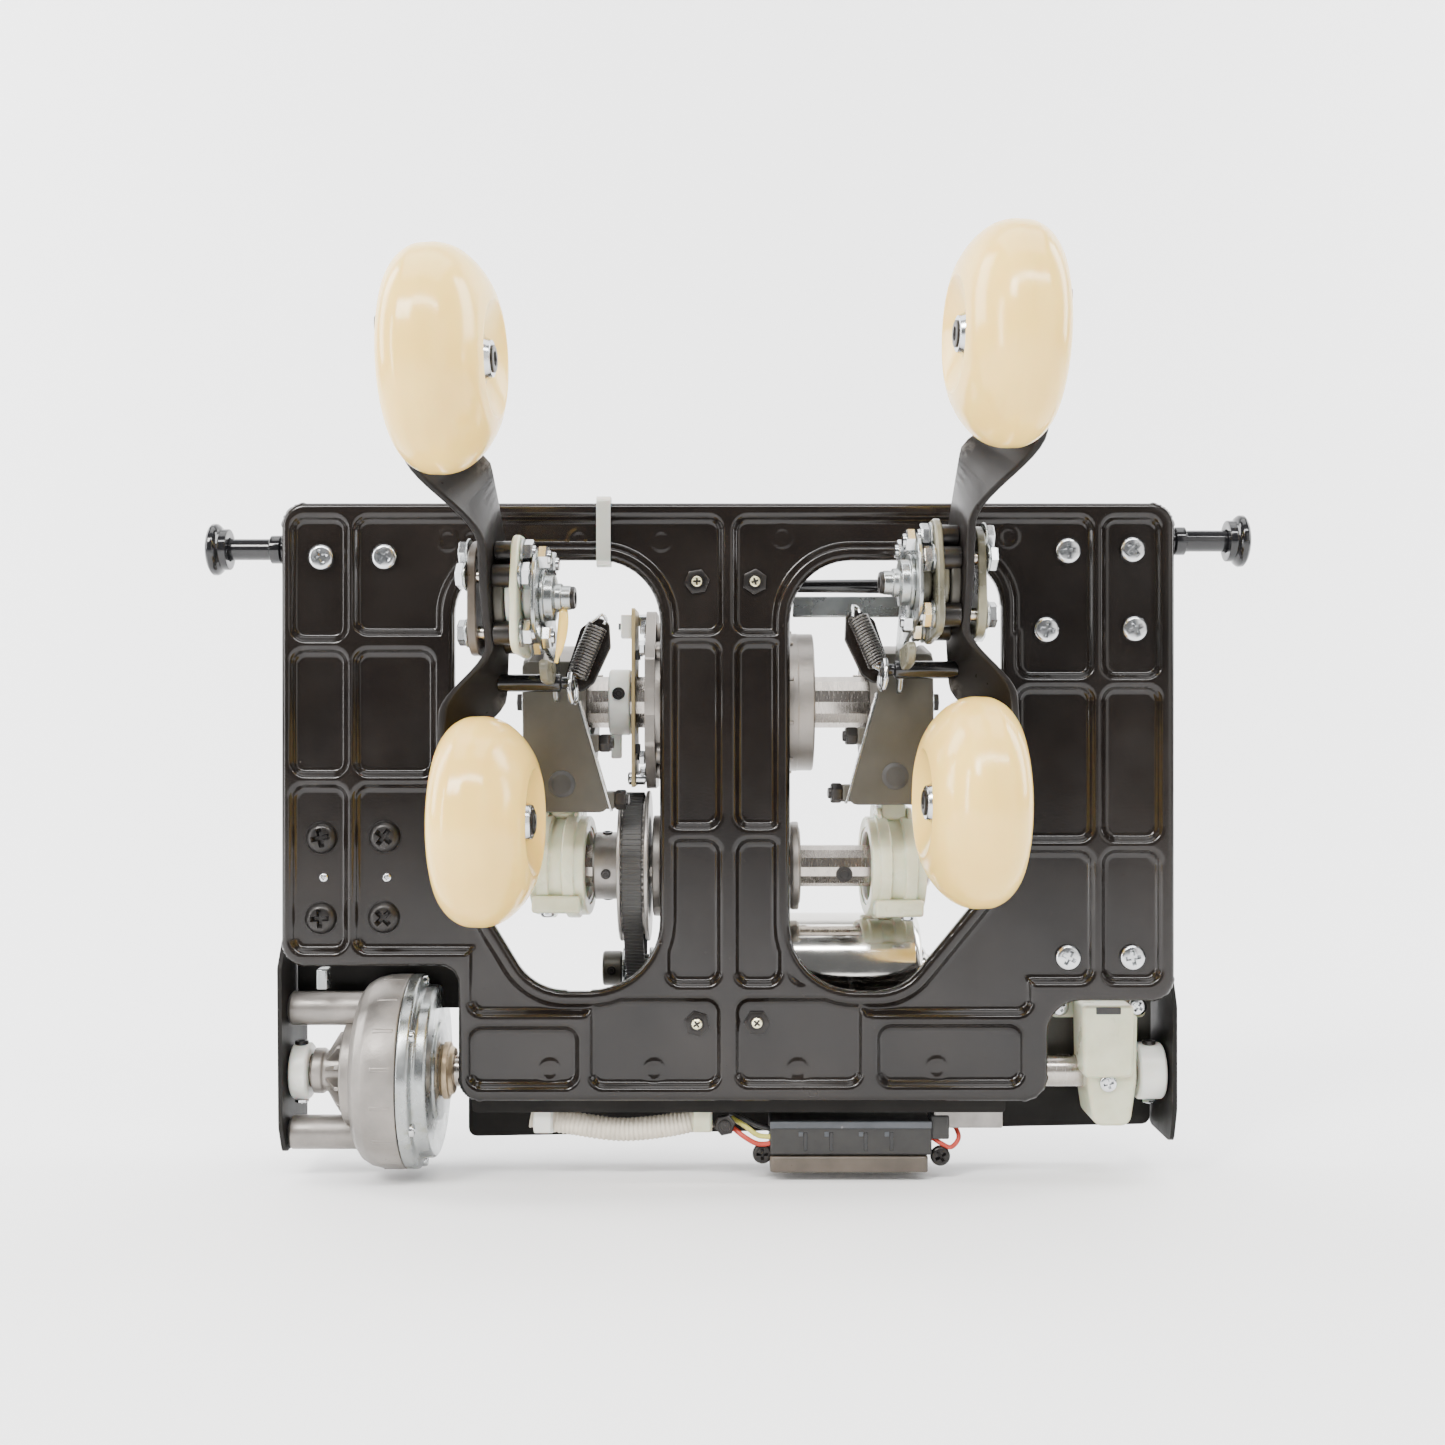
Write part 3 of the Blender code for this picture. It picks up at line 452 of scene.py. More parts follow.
def tube(name, points, radius, place, finish, body, replaces=(), sides=12, flat=1.0, fine=40):
    """A round or flattened tube along a smooth path."""
    path = smooth_path(points, fine) if fine else [Vector(p) for p in points]
    work = bmesh.new()
    rings = []
    normal = None
    for i, centre in enumerate(path):
        ahead = path[min(i + 1, len(path) - 1)]
        behind = path[max(i - 1, 0)]
        tangent = (ahead - behind).normalized()
        if normal is None:
            normal = tangent.orthogonal().normalized()
        normal = (normal - tangent * normal.dot(tangent)).normalized()
        side = tangent.cross(normal)
        size = radius(i / (len(path) - 1)) if callable(radius) else radius
        rings.append([work.verts.new(centre + size * (normal * math.cos(2 * math.pi * k / sides)
                                                      + side * flat * math.sin(2 * math.pi * k / sides)))
                      for k in range(sides)])
    skin(work, rings)
    return emit(name, work, place, finish, body, replaces, angle=50)


# ------------------------------------------------------------------ fasteners
def head_work(radius, height, kind, sides=48):
    """A screw or nut head along local x, from x 0 to its height; kinds: pan, dome, hex, socket, nut."""
    work = bmesh.new()
    if kind in ("hex", "nut"):
        profile = [(radius * 0.90, 0.0), (radius, height * 0.18), (radius, height * 0.85), (radius * 0.90, height)]
        outline = lambda angle: 1.0 / math.cos((angle % (math.pi / 3)) - math.pi / 6) * 0.87
        sides = 36
    elif kind == "socket":
        profile = [(radius, 0.0), (radius, height * 0.85), (radius * 0.9, height)]
        outline = lambda angle: 1.0
    else:
        crown = 0.55 if kind == "pan" else 1.0
        rise = height * (1 - crown)
        profile = [(radius, 0.0), (radius, rise)]
        for i in range(1, 6):
            t = i / 8 * math.pi / 2
            profile.append((radius * math.cos(t) ** (0.55 if kind == "pan" else 0.85),
                    rise + height * crown * math.sin(t)))
        outline = lambda angle: 1.0
    def level(axial, size):
        """One ring of the head at an axial place; size is a radius, or a function of the angle."""
        loop = []
        for k in range(sides):
            angle = 2 * math.pi * k / sides
            r = size(angle) if callable(size) else size
            loop.append(work.verts.new((axial, r * math.cos(angle), r * math.sin(angle))))
        return loop

    def recess(angle, size):
        """The edge of the cross recess, its arms running out to 0.6 of the head."""
        folded = abs((angle + math.pi / 4) % (math.pi / 2) - math.pi / 4)
        arm = 0.60 / math.cos(folded) if folded < math.radians(15.1) else 0.161 / math.sin(folded)
        return radius * arm * size

    rings = [level(axial, lambda angle: r * outline(angle)) for r, axial in profile]
    top = profile[-1][1]
    if kind == "socket":
        inner = ((0.0, 0.55), (-height * 0.5, 0.5))
    elif kind == "nut":
        inner = ((0.0, 0.56), (height * 0.25, 0.52), (height * 0.28, 0.40))
    else:
        inner = ()
    rings += [level(top + rise, radius * size) for rise, size in inner]
    if kind in ("pan", "dome"):
        for rise, size in ((0.0, 1.0), (-0.25, 0.94), (-min(height * 0.7, 2.4), 0.62)):
            rings.append(level(top + rise, lambda angle: recess(angle, size)))
    skin(work, rings)
    return work


def fastener(name, place, radius, height, kind, finish, body, spin=0.0):
    """place has local x along the way that the head stands out."""
    return emit(name, head_work(radius, height, kind), place @ turn("X", spin), finish, body, angle=28)


def facing(x, y, z):
    """A frame at a point of the carriage whose local x points at the camera side."""
    return at(x, y, z) @ turn("Z", -90)


# ------------------------------------------------------------------ front plate
PLATE_PANELS = [
    (-199, -176, -44, 10), (-199, -176, -106, -51), (-199, -176, -187, -113),
    (-170, -4, -41, 10), (-170, -136, -106, -51), (-170, -50, -187, -113),
    (4, 166, -41, 10), (173, 197, -61, 10), (173, 197, -136, -68), (173, 197, -201, -143),
    (134, 166, -136, -68), (30, 166, -201, -143),
    (-26.5, -5, -130, -47), (5, 23, -130, -47), (-26.5, -5, -202, -138), (5, 23, -202, -138),
    (-118, -70, -249, -224), (-62, -5, -249, -211), (5, 60, -248, -211), (70, 134, -248, -223),
    (134, 166, -61, -30), (62, 138, -215.5, -150), (-117.5, -62, -215.5, -150),
]
PLATE_STEP = 1.0     # grid spacing
BEAD_RISE = 3.6      # height of the beads between the panels
SHEET = 1.5          # sheet thickness
ROLLED_EDGE = 2.6    # radius of the rolled edges
DIMPLES = [(-129, 1), (-118, 1), (-68.5, 1), (-30.7, 1), (25, 2.5), (129, 2.5), (-82, -243), (-34, -243), (32, -243),
        (96, -242)]
DIMPLE_RADIUS = 4.2


def plate_outline():
    return rounded([(-205, 18, 11), (205, 18, 11), (205, -211, 11), (147, -211, 14), (147, -257, 12), (-124, -257, 11),
            (-124, -195, 8), (-205, -195, 11)], 10)


def left_opening():
    return rounded([(-125.6, -8.5, 25), (-31.3, -8.5, 28), (-31.3, -206, 32), (-89, -206, 26), (-125.6, -146, 20)], 12)


def right_opening():
    return rounded([(28.5, -8.5, 28), (125, -8.5, 20), (125, -151, 15), (80, -206, 24), (28.5, -206, 30)], 12)


def loop_distance(points, loop):
    """Signed distance to a closed loop, negative inside, and the nearest point on it."""
    loop = np.array(loop)
    best = np.full(len(points), 1e9)
    nearest = np.zeros_like(points)
    inside = np.zeros(len(points), bool)
    for a, b in zip(loop, np.roll(loop, -1, axis=0)):
        edge = b - a
        length = edge @ edge
        if length < 1e-12:
            continue
        t = np.clip(((points - a) @ edge) / length, 0, 1)
        foot = a + t[:, None] * edge
        distance = np.hypot(*(points - foot).T)
        closer = distance < best
        best[closer] = distance[closer]
        nearest[closer] = foot[closer]
        crosses = (a[1] > points[:, 1]) != (b[1] > points[:, 1])
        with np.errstate(divide="ignore", invalid="ignore"):
            x = a[0] + (points[:, 1] - a[1]) / (b[1] - a[1]) * (b[0] - a[0])
        inside ^= crosses & (points[:, 0] < x)
    return np.where(inside, -best, best), nearest


def panel_distance(points, panel, radius=5.0):
    x0, x1, z0, z1 = panel
    dx = np.abs(points[:, 0] - (x0 + x1) / 2) - (x1 - x0) / 2 + radius
    dz = np.abs(points[:, 1] - (z0 + z1) / 2) - (z1 - z0) / 2 + radius
    return np.hypot(np.maximum(dx, 0), np.maximum(dz, 0)) + np.minimum(np.maximum(dx, dz), 0) - radius


def smooth(value, low, high):
    """A smooth step from 0 at low to 1 at high."""
    t = np.clip((value - low) / (high - low), 0, 1)
    return t * t * (3 - 2 * t)


def build_plate():
    """The pressed sheet: a grid fitted to the outline, raised into beads and rolled over at its edges."""
    xs = np.arange(-206.5, 206.6, PLATE_STEP)
    zs = np.arange(-258.5, 19.6, PLATE_STEP)
    grid_x, grid_z = np.meshgrid(xs, zs)
    points = np.column_stack((grid_x.ravel(), grid_z.ravel()))
    outer, outer_near = loop_distance(points, plate_outline())
    left, left_near = loop_distance(points, left_opening())
    right, right_near = loop_distance(points, right_opening())
    field = outer.copy()
    near = outer_near.copy()
    for other, other_near in ((-left, left_near), (-right, right_near)):
        take = other > field
        field[take] = other[take]
        near[take] = other_near[take]
    keep = field < PLATE_STEP * 0.5
    snap = keep & (field > -PLATE_STEP * 0.5)
    points[snap] = near[snap]
    panels = np.min([panel_distance(points, panel) for panel in PLATE_PANELS], axis=0)
    opening = np.minimum(left, right)
    panels = np.maximum(panels, 7.6 - opening)
    rise = BEAD_RISE * smooth(panels, -1.2, 2.7)
    for x, z in DIMPLES:
        circle_edge = np.abs(np.hypot(points[:, 0] - x, points[:, 1] - z) - DIMPLE_RADIUS)
        rise = np.maximum(rise, 0) + 0.35 * (1 - smooth(circle_edge, 0.3, 1.4)) * (rise < 1)
    edge = np.clip(1 + field / ROLLED_EDGE, 0, 1)
    roll = ROLLED_EDGE * (1 - np.sqrt(np.clip(1 - edge ** 2, 0, 1)))
    shade = 0.05 * np.sin(points[:, 0] * 0.045) * np.cos(points[:, 1] * 0.06)
    depth = -rise + roll + shade * (rise < 0.5)
    count_x, count_z = len(xs), len(zs)
    index = np.arange(count_x * count_z).reshape(count_z, count_x)
    quads = np.column_stack((index[:-1, :-1].ravel(), index[:-1, 1:].ravel(), index[1:, 1:].ravel(),
            index[1:, :-1].ravel()))
    kept = keep[quads]
    corners = kept.sum(axis=1) == 3
    triangles = quads[corners][kept[corners]].reshape(-1, 3)
    quads = quads[kept.all(axis=1)]
    used = np.unique(np.concatenate((quads.ravel(), triangles.ravel())))
    remap = np.zeros(len(points), int)
    remap[used] = np.arange(len(used))
    vertices = np.column_stack((points[used, 0], depth[used], points[used, 1]))
    mesh = bpy.data.meshes.new("front_plate_sheet")
    mesh.from_pydata((vertices * MM).tolist(), [], remap[quads].tolist() + remap[triangles].tolist())
    work = bmesh.new()
    work.from_mesh(mesh)
    rim = [item for item in work.edges if item.is_boundary]
    grown = bmesh.ops.extrude_edge_only(work, edges=rim)["geom"]
    for vert in grown:
        if isinstance(vert, bmesh.types.BMVert):
            vert.co.y = 1.6 * MM
    bmesh.ops.recalc_face_normals(work, faces=work.faces)
    work.to_mesh(mesh)
    work.free()
    mesh.shade_smooth()
    piece = add_object("front_plate_sheet", mesh)
    mesh.materials.append(FINISH["black_paint"])
    wall = piece.modifiers.new("wall", "SOLIDIFY")
    wall.thickness = SHEET * MM
    front_faces = sum(1 for face in mesh.polygons if face.normal.y < 0)
    wall.offset = -1 if front_faces > len(mesh.polygons) / 2 else 1
    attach(piece, "carriage")
    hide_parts("front_plate")


def build_plate_fasteners():
    silver = ((-187, -7), (-158, -6.8), (156.4, -4), (186, -3.5), (146.4, -40.3), (187, -39.9), (156.4, -191),
            (186, -191))
    for i, (x, z) in enumerate(silver):
        fastener(f"plate_screw_{i}", facing(x, 0.05, z), 5.9, 3.0, "pan", "screw_steel", "carriage", 20 + 37 * i)
    black = ((-187, -136), (-158, -135.5), (-187.3, -173), (-158.3, -172.6))
    for i, (x, z) in enumerate(black):
        fastener(f"dome_screw_{i}", facing(x, 0.05, z), 7.4, 4.0, "dome", "black_oxide", "carriage", 11 + 41 * i)
    for i, (x, z) in enumerate(((-186, -154.3), (-157, -154.3))):
        fastener(f"rivet_{i}", facing(x, 0.05, z), 2.2, 1.2, "dome", "screw_steel", "carriage")
    gold = ((-14.3, -18.2), (12.4, -18.2), (-14.3, -221.5), (13.3, -221))
    for i, (x, z) in enumerate(gold):
        fastener(f"bolt_washer_{i}", facing(x, -0.05, z), 5.9, 1.6, "nut", "black_oxide", "carriage", 9 + 17 * i)
        fastener(f"plate_bolt_{i}", facing(x, -0.9, z), 3.0, 1.9, "dome", "gold_bolt", "carriage", 17 * i)


# ------------------------------------------------------------------ arms
ROLLER_PROFILE = [(5.4, 17), (33, 17), (37.4, 15.3), (41.6, 11.8), (44.3, 7), (44.8, 2.5), (44.7, -2.3),
                  (43, -7.9), (39.6, -12.8), (34.8, -17.2), (29, -20.7), (24.2, -22.4), (22, -21.9), (12.6, -16),
                  (5.4, -16)]


def roller_profile():
    """The roller's section, with its outer curve drawn smooth through the moulding's main points."""
    crown = smooth_path([(r, a, 0) for r, a in ROLLER_PROFILE[1:12]], 48)
    edge_points = smooth_path([(24.2, -22.4, 0), (23.0, -22.5, 0), (21.6, -21.5, 0)], 6)[1:]
    return ([(5.4, 16.6)] + [(p.x, p.y) for p in crown] + [(p.x, p.y) for p in edge_points] + [(13.2, -16.6), (11.8, -16.1),
            (5.4, -16)])


def arm_centre(t):
    """The (y, z) of the arm's middle line, curved from the upper roller (t 0) to the lower one (t 1)."""
    control = [-(UPPER[i] + LOWER[i]) / 2 for i in (1, 2)]
    return [(1 - t) ** 2 * UPPER[i + 1] + 2 * t * (1 - t) * control[i] + t ** 2 * LOWER[i + 1] for i in (0, 1)]


def build_arm(name, side, place, body):
    """A thick flat bar bent out round both rollers, with rounded edges, a boss and the spring peg."""
    work = bmesh.new()
    rings = []
    stations = [-0.0760, -0.0752, -0.073, -0.069, -0.063, -0.055, -0.042, -0.025]
    stations += [i / 60 for i in range(61)]
    stations += [1 - value for value in reversed(stations[:8])]
    section = []
    for p, q in ((-1, -1), (1, -1), (1, 1), (-1, 1)):
        for k in range(4):
            angle = math.atan2(q, p) - math.pi / 4 + k * math.pi / 6
            section.append((p, q, ARM_ROUND * math.cos(angle), ARM_ROUND * math.sin(angle)))
    for t in stations:
        beyond = max(-t, t - 1, 0) / 0.0765
        width = 10.5 * math.sqrt(max(1 - beyond ** 2, 0.004)) * (1 + 1.15 * math.exp(-((t - 0.47) / 0.19) ** 2))
        y, z = arm_centre(t)
        ahead = arm_centre(t + 0.01)
        slope = math.atan2(ahead[1] - z, ahead[0] - y)
        across = (-math.sin(slope), math.cos(slope))
        front = 5.6 + (UPPER[0] + 13.8) * (1 - smooth(t, 0.15, 0.34)) + (LOWER[0] + 13.8) * smooth(t, 0.60, 0.78)
        rear = 5.6 + (UPPER[0] + 13.8) * (1 - smooth(t, 0.12, 0.24)) + (LOWER[0] + 13.8) * smooth(t, 0.72, 0.86)
        loop = []
        for p, q, dp, dq in section:
            thick = (rear if q > 0 else front) + p * (ARM_HALF - ARM_ROUND) + dp
            reach = q * max(width - ARM_ROUND, 0.0) + (dq if width > ARM_ROUND else dq * width / ARM_ROUND)
            loop.append(work.verts.new((side * thick, y + reach * across[0], z + reach * across[1])))
        rings.append(loop)
    skin(work, rings)
    emit(f"{name}_arm_bar", work, place, "worn_black", body, (f"{name}_arm",))
    lathe(f"{name}_arm_boss_ring", mirrored(ring(8, 17, -1, 3.6), side), place, "dull_and_shaded_zinc", body)
    peg = place @ at(0, 12, -37)
    lathe(f"{name}_peg", mirrored([(0, 7), (3.9, 7), (3.9, -20.6), (2.6, -21.4), (2.6, -23.6), (3.6, -24.2),
            (3.6, -26.4), (3.0, -27), (0, -27)], side), peg, "gloss_black", body, round_by=0.25, steps=40)


def build_roller(name, side, label, place, body_arm, body_roller):
    lathe(f"{name}_{label}_tyre", mirrored(roller_profile(), side), place, "cream_plastic", body_roller,
            (f"{name}_{label}_roller",), steps=112, round_by=0.2)
    cup = [(5.0, -16.25), (10.6, -16.25), (10.6, -17.3), (8.6, -17.9), (7.9, -19.4), (7.2, -21.2), (5.0, -21.2)]
    lathe(f"{name}_{label}_washer", mirrored(cup, side), place, "screw_steel", body_arm, (f"{name}_{label}_bolt",),
            steps=64, round_by=0.4)
    inward = place @ at(-side * 20.4) @ INWARD[side]
    fastener(f"{name}_{label}_screw", inward, 5.4, 1.7, "socket", "black_oxide", body_arm)
    lathe(f"{name}_{label}_axle", mirrored(bar(5.0, -17.0, 17.2, 0.3), side), place, "bright_steel", body_arm,
            steps=32)
    outward = place @ at(side * 20.9) @ OUTWARD[side]
    fastener(f"{name}_{label}_rivet", outward, 5.4, 1.6, "pan", "screw_steel", body_arm, 20)


def stack(name, place, side, y, z, outer, inner, body, spin=0.0):
    """A through bolt of the arm clamp: hex head outside, washers and a nut inside."""
    here = place @ at(0, y, z)
    fastener(f"{name}_head", here @ at(side * outer) @ OUTWARD[side], 5.6, 3.6, "hex", "screw_steel", body, spin)
    lathe(f"{name}_shank", mirrored(bar(2.9, inner, outer, 0.2), side), here, "bright_steel", body, steps=24)
    lathe(f"{name}_washer", mirrored(ring(3.0, 6.2, inner + 3.6, inner + 4.8, 0.2), side), here, "zinc", body,
            steps=32, round_by=0.15)
    fastener(f"{name}_nut", here @ at(side * (inner + 3.6)) @ INWARD[side], 5.8, 4.0, "nut", "screw_steel", body,
            spin + 25)


def build_pivot(name, side, place, arm_body, bracket_body):
    """The arm's clamp and pivot seen edge-on: guard, spacers, nylon flange, zinc washer plate and stud."""
    guard = rounded([(-19, -25, 12), (15, -25, 12), (19, 20, 12), (0, 25, 12), (-17, 22, 12)], 8)
    guard_finish = "brown_nylon" if side < 0 else "olive_nylon"
    slab(f"{name}_guard_plate", [guard, circle(-2, 0, 7)], side * 10.4, side * 14.2, place, guard_finish, arm_body,
            (f"{name}_arm_guard",), 0.9)
    lathe(f"{name}_guard_cap", mirrored([(0, 16.6), (5.4, 16.6), (6.6, 15.6), (6.6, 14.3), (0, 14.3)], side),
            place @ at(0, -2, 0), guard_finish, arm_body)
    clamps = ((-8, 19), (-14, 9), (-12, -15), (11, -19))
    for i, (y, z) in enumerate(clamps):
        lathe(f"{name}_clamp_collar_{i}", mirrored(ring(3.1, 6.4, 14.3, 15.4, 0.3), side), place @ at(0, y, z), "zinc",
                arm_body, steps=36, round_by=0.15)
        stack(f"{name}_clamp_{i}", place, side, y, z, 15.4, -12.6, arm_body, 14 * i)
        lathe(f"{name}_clamp_tube_{i}", mirrored(ring(3.4, 5.2, -4.6, 3.5, 0.3), side), place @ at(0, y, z),
                "black_oxide", arm_body, steps=36)
    lobes = rounded([(-22, -23, 9), (14, -27, 9), (20, 0, 14), (2, 26, 10), (-16, 27, 9), (-22, 4, 10)], 8)
    slab(f"{name}_lobed_plate", [lobes, circle(0, 0, 9, 48)], side * -7.8, side * -4.7, place,
            "nylon" if side < 0 else "olive_nylon", arm_body, (), 0.8)
    flange = [(8, -1.4), (15.2, -1.4), (16.0, -2.0), (16.0, -3.8), (15.2, -4.4), (8.6, -4.4), (8.6, -8.4),
            (12.4, -8.8), (12.8, -9.4), (12.8, -12.4), (12.0, -13), (8, -13)]
    lathe(f"{name}_nylon_flange", mirrored(flange, side), place, "white_nylon" if side < 0 else "olive_nylon",
            bracket_body, (f"{name}_pivot_flange",), round_by=0.4)
    stud = [(0, -15.5), (12.5, -15.5), (12.5, -16.9), (10, -17.1), (10, -20.6), (6.2, -21.4), (6.2, -23.6), (5.2, -24),
            (5.2, -27.4), (4.4, -28), (0, -28)]
    lathe(f"{name}_pivot_cap", mirrored(stud, side), place, "zinc", bracket_body, round_by=0.3)
    fastener(f"{name}_pivot_screw", place @ at(-side * 25.0) @ INWARD[side], 4.9, 4.4, "socket", "black_oxide",
            bracket_body)
    if side < 0:
        leaf = [(side * -24.2, 0, -3), (side * -24.4, -2, -10), (side * -23.4, -3, -19), (side * -21.2, -3, -28)]
        tube(f"{name}_wear_strip", leaf, lambda t: 1.0 + 1.6 * math.sin(math.pi * min(t + 0.1, 1)) ** 0.7, place,
                "cream_plastic", bracket_body, sides=20, flat=0.5, fine=40)
    pad = rounded([(-16, -26, 3), (-10, -36, 4), (4, -38, 4), (10, -28, 3)], 5)
    slab(f"{name}_stop_pad", [pad], side * -19.4, side * -15.6, place, "olive_nylon", arm_body, (), 0.8)


def build_carrier(name, side, hub, pivot, body):
    """Zinc bracket with two cheeks, the front web, the pivot plate, rod pin and the black spring ear; the cheeks and
    web are zinc darkened with painted shade, and a bright strip on the web's slanted edge is a painted highlight.
    """
    cheek = rounded([(-42, 20, 4), (-20, 26, 8), (14, 24, 16), (26, 8, 16), (26, -14, 12), (12, -46, 10),
            (-14, -46, 8), (-42, -49, 4)], 8)
    for label, low, high in (("inner", -12.5, -10), ("outer", 10, 12.5)):
        slab(f"{name}_{label}_cheek", [cheek, circle(0, 0, 17, 56)], side * low, side * high, hub, "dull_and_shaded_zinc", body,
                (f"{name}_carrier",) if label == "inner" else (), 0.4)
    web = rounded([(12.5, 20, 3), (12.5, -49, 3), (-28, -49, 4), (-13.4, 0, 6), (-12.5, 20, 3)], 4)
    web = [(side * p, q) for p, q in web]
    slab(f"{name}_front_web", [web], 41, 43.6, hub, "dull_and_shaded_zinc", body, (), 0.5, plane="XZ")
    # a thin bright steel strip along the web's slanted edge: painted highlight on the lit edge of the shaded plate
    edge_points = [(side * p, q) for p, q in ((-13.2, 2), (-27.6, -48.4), (-28.6, -48.4), (-14.2, 2))]
    slab(f"{name}_web_edge_highlight", [edge_points], 40.4, 44.0, hub, "screw_steel", body, (), 0.2, plane="XZ")
    y, z = PIVOT[1], PIVOT[2]
    plate = rounded([(y - 21, z - 14, 12), (y - 19, z + 20, 16), (y + 12, z + 22, 14), (-41, 20, 6), (-41, -10, 4),
            (y + 24, z - 27, 6), (y + 8, z - 22, 8)], 8)
    slab(f"{name}_pivot_plate", [plate], side * (PIVOT[0] - 15.4), side * (PIVOT[0] - 13.3), hub, "zinc", body, (), 0.6)
    for i, (py, pz) in enumerate(((-10, 17), (9, 15), (-3, -17))):
        fastener(f"{name}_plate_nut_{i}", pivot @ at(-side * 15.3, py, pz) @ INWARD[side], 5.2, 4.4, "nut",
                "screw_steel", body, 33 * i)
    lathe(f"{name}_rod_pin", bar(4, -12.2, 12.2, 0.5), hub @ at(0, 0, -38), "bright_steel", body, steps=32)
    ear = rounded([(-28.6, 26, 3), (-28, 38, 4), (-22.5, 40, 4), (-15, 35, 4), (-7.5, 12, 3), (-14, 5, 4),
            (-21, 10, 4)], 5)
    slab(f"{name}_spring_plate", [[(side * p, q) for p, q in ear]], 43.6, 46.4, hub, "black_paint", body, (), 0.5,
            plane="XZ")
    # a black dome on the front web, where a dark soft spot shows
    lathe(f"{name}_web_black_dome", [(0, 0.9), (4.4, 0.9), (6.2, 0.2), (6.2, -0.3), (0, -0.3)], hub @ at(-side * 5.5,
            -43.7, -36) @ turn("Z", -90), "black_rubber", body, steps=40, round_by=0.3)
    for i, (p, q) in enumerate(((-18.0, -17.5), (-25.0, -43.5))):
        here = hub @ at(side * (p - 1.5), -38.8, q)
        block(f"{name}_web_tab_{i}", (-3, 3), (-4.5, 3), (-4, 4), here, "dull_and_shaded_zinc", body)
        fastener(f"{name}_web_nut_{i}", here @ at(-side * 3) @ INWARD[side], 4.6, 5, "nut", "black_oxide", body, 20 * i)


def build_spring(name, side, hub, body, arm_body):
    """A close-wound tension spring with its hooks."""
    start = Vector((side * -23.6, -52.6, 35.5))
    end = Vector((side * -15.4, -59.5, 13.2))
    axis = end - start
    normal = axis.normalized().orthogonal().normalized()
    other = axis.normalized().cross(normal)
    steps = 20
    coil = []
    for i in range(SPRING_TURNS * steps + 1):
        t = i / (SPRING_TURNS * steps)
        angle = 2 * math.pi * i / steps
        coil.append(start + axis * t + SPRING_RADIUS * (normal * math.cos(angle) + other * math.sin(angle)))
    piece = tube(f"{name}_spring_coil", coil, 0.72, hub, "spring_steel", None, (f"{name}_spring",), sides=8, fine=0)
    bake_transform(piece)
    top = smooth_path([start + normal * SPRING_RADIUS, start - axis.normalized() * 3 + normal * 2,
            start - axis.normalized() * 6, start - axis.normalized() * 5 - normal * 3,
            start - axis.normalized() * 2.4 - normal * 3], 20)
    tube(f"{name}_spring_top_hook", top, 0.72, hub, "screw_steel", body, sides=8, fine=0)
    hook = [end + normal * SPRING_RADIUS, end + axis.normalized() * 2.2, Vector((side * -15.4, -62.4, 8.2)),
            Vector((side * -16.4, -67.4, 3.4)), Vector((side * -15.8, -72.4, 2.0)), Vector((side * -15.0, -75.4, 5.4)),
            Vector((side * -14.6, -75.2, 10.6)), Vector((side * -14.6, -72.2, 14.9))]
    tube(f"{name}_spring_hook", hook, 1.1, hub, "screw_steel", arm_body, sides=10, fine=44)


def build_rod(name, side, place, body):
    """Milky nylon connecting rod: big end with flanges, ribs, a split clamp and its screws."""
    back, drop = -4.0, -40.1
    big = place @ at(0, back, drop)
    profile = [(18.5, 13), (23, 13), (23.6, 12.4), (23.6, 8.6), (25, 8), (25, 3), (23.2, 2.4), (23.2, -3.4), (25, -4),
            (25, -9), (23.6, -9.6), (23.6, -12.4), (23, -13), (18.5, -13)]
    lathe(f"{name}_rod_ring", profile, big, "nylon", body, (f"{name}_rod",), round_by=0.35)
    lathe(f"{name}_rod_small_end", ring(4.4, 8, -7, 7, 0.8), place, "nylon", body, steps=48)
    link = rounded([(-6, -6, 1), (6, -6, 1), (8.5, drop + 22.0, 2), (-12, drop + 22.0, 2)], 4)
    slab(f"{name}_rod_link", [link], -6, 6, place, "nylon", body, (), 0.9)
    for label, low, high in (("outer", 6.2, 8.4), ("inner", -8.4, -6.2)):
        slab(f"{name}_rod_web_{label}", [rounded([(-9, -12, 2), (9, -12, 2), (13, drop + 20.6, 3),
                (-19, drop + 20.6, 3)], 4)], low, high, place, "nylon", body, (), 0.5)
    for i, y in enumerate((-18.5, 18.5)):
        block(f"{name}_rod_boss_{i}", (-11.5, 11.5), (y - 5, y + 5), (-21.5, -13.5), big, "nylon", body, bevel=1.5)
        down = big @ at(side * 4.5, y, -21.4) @ turn("Y", 90)
        fastener(f"{name}_rod_screw_{i}", down, 3.2, 2.4, "pan", "screw_steel", body, 30 * i)
    lathe(f"{name}_rod_seal", ring(16.3, 18.4, 10.2, 12.4, 0.3), big, "white_nylon", body)
    lathe(f"{name}_rod_seal_inner", ring(16.3, 18.4, -12.4, -10.2, 0.3), big, "white_nylon", body)


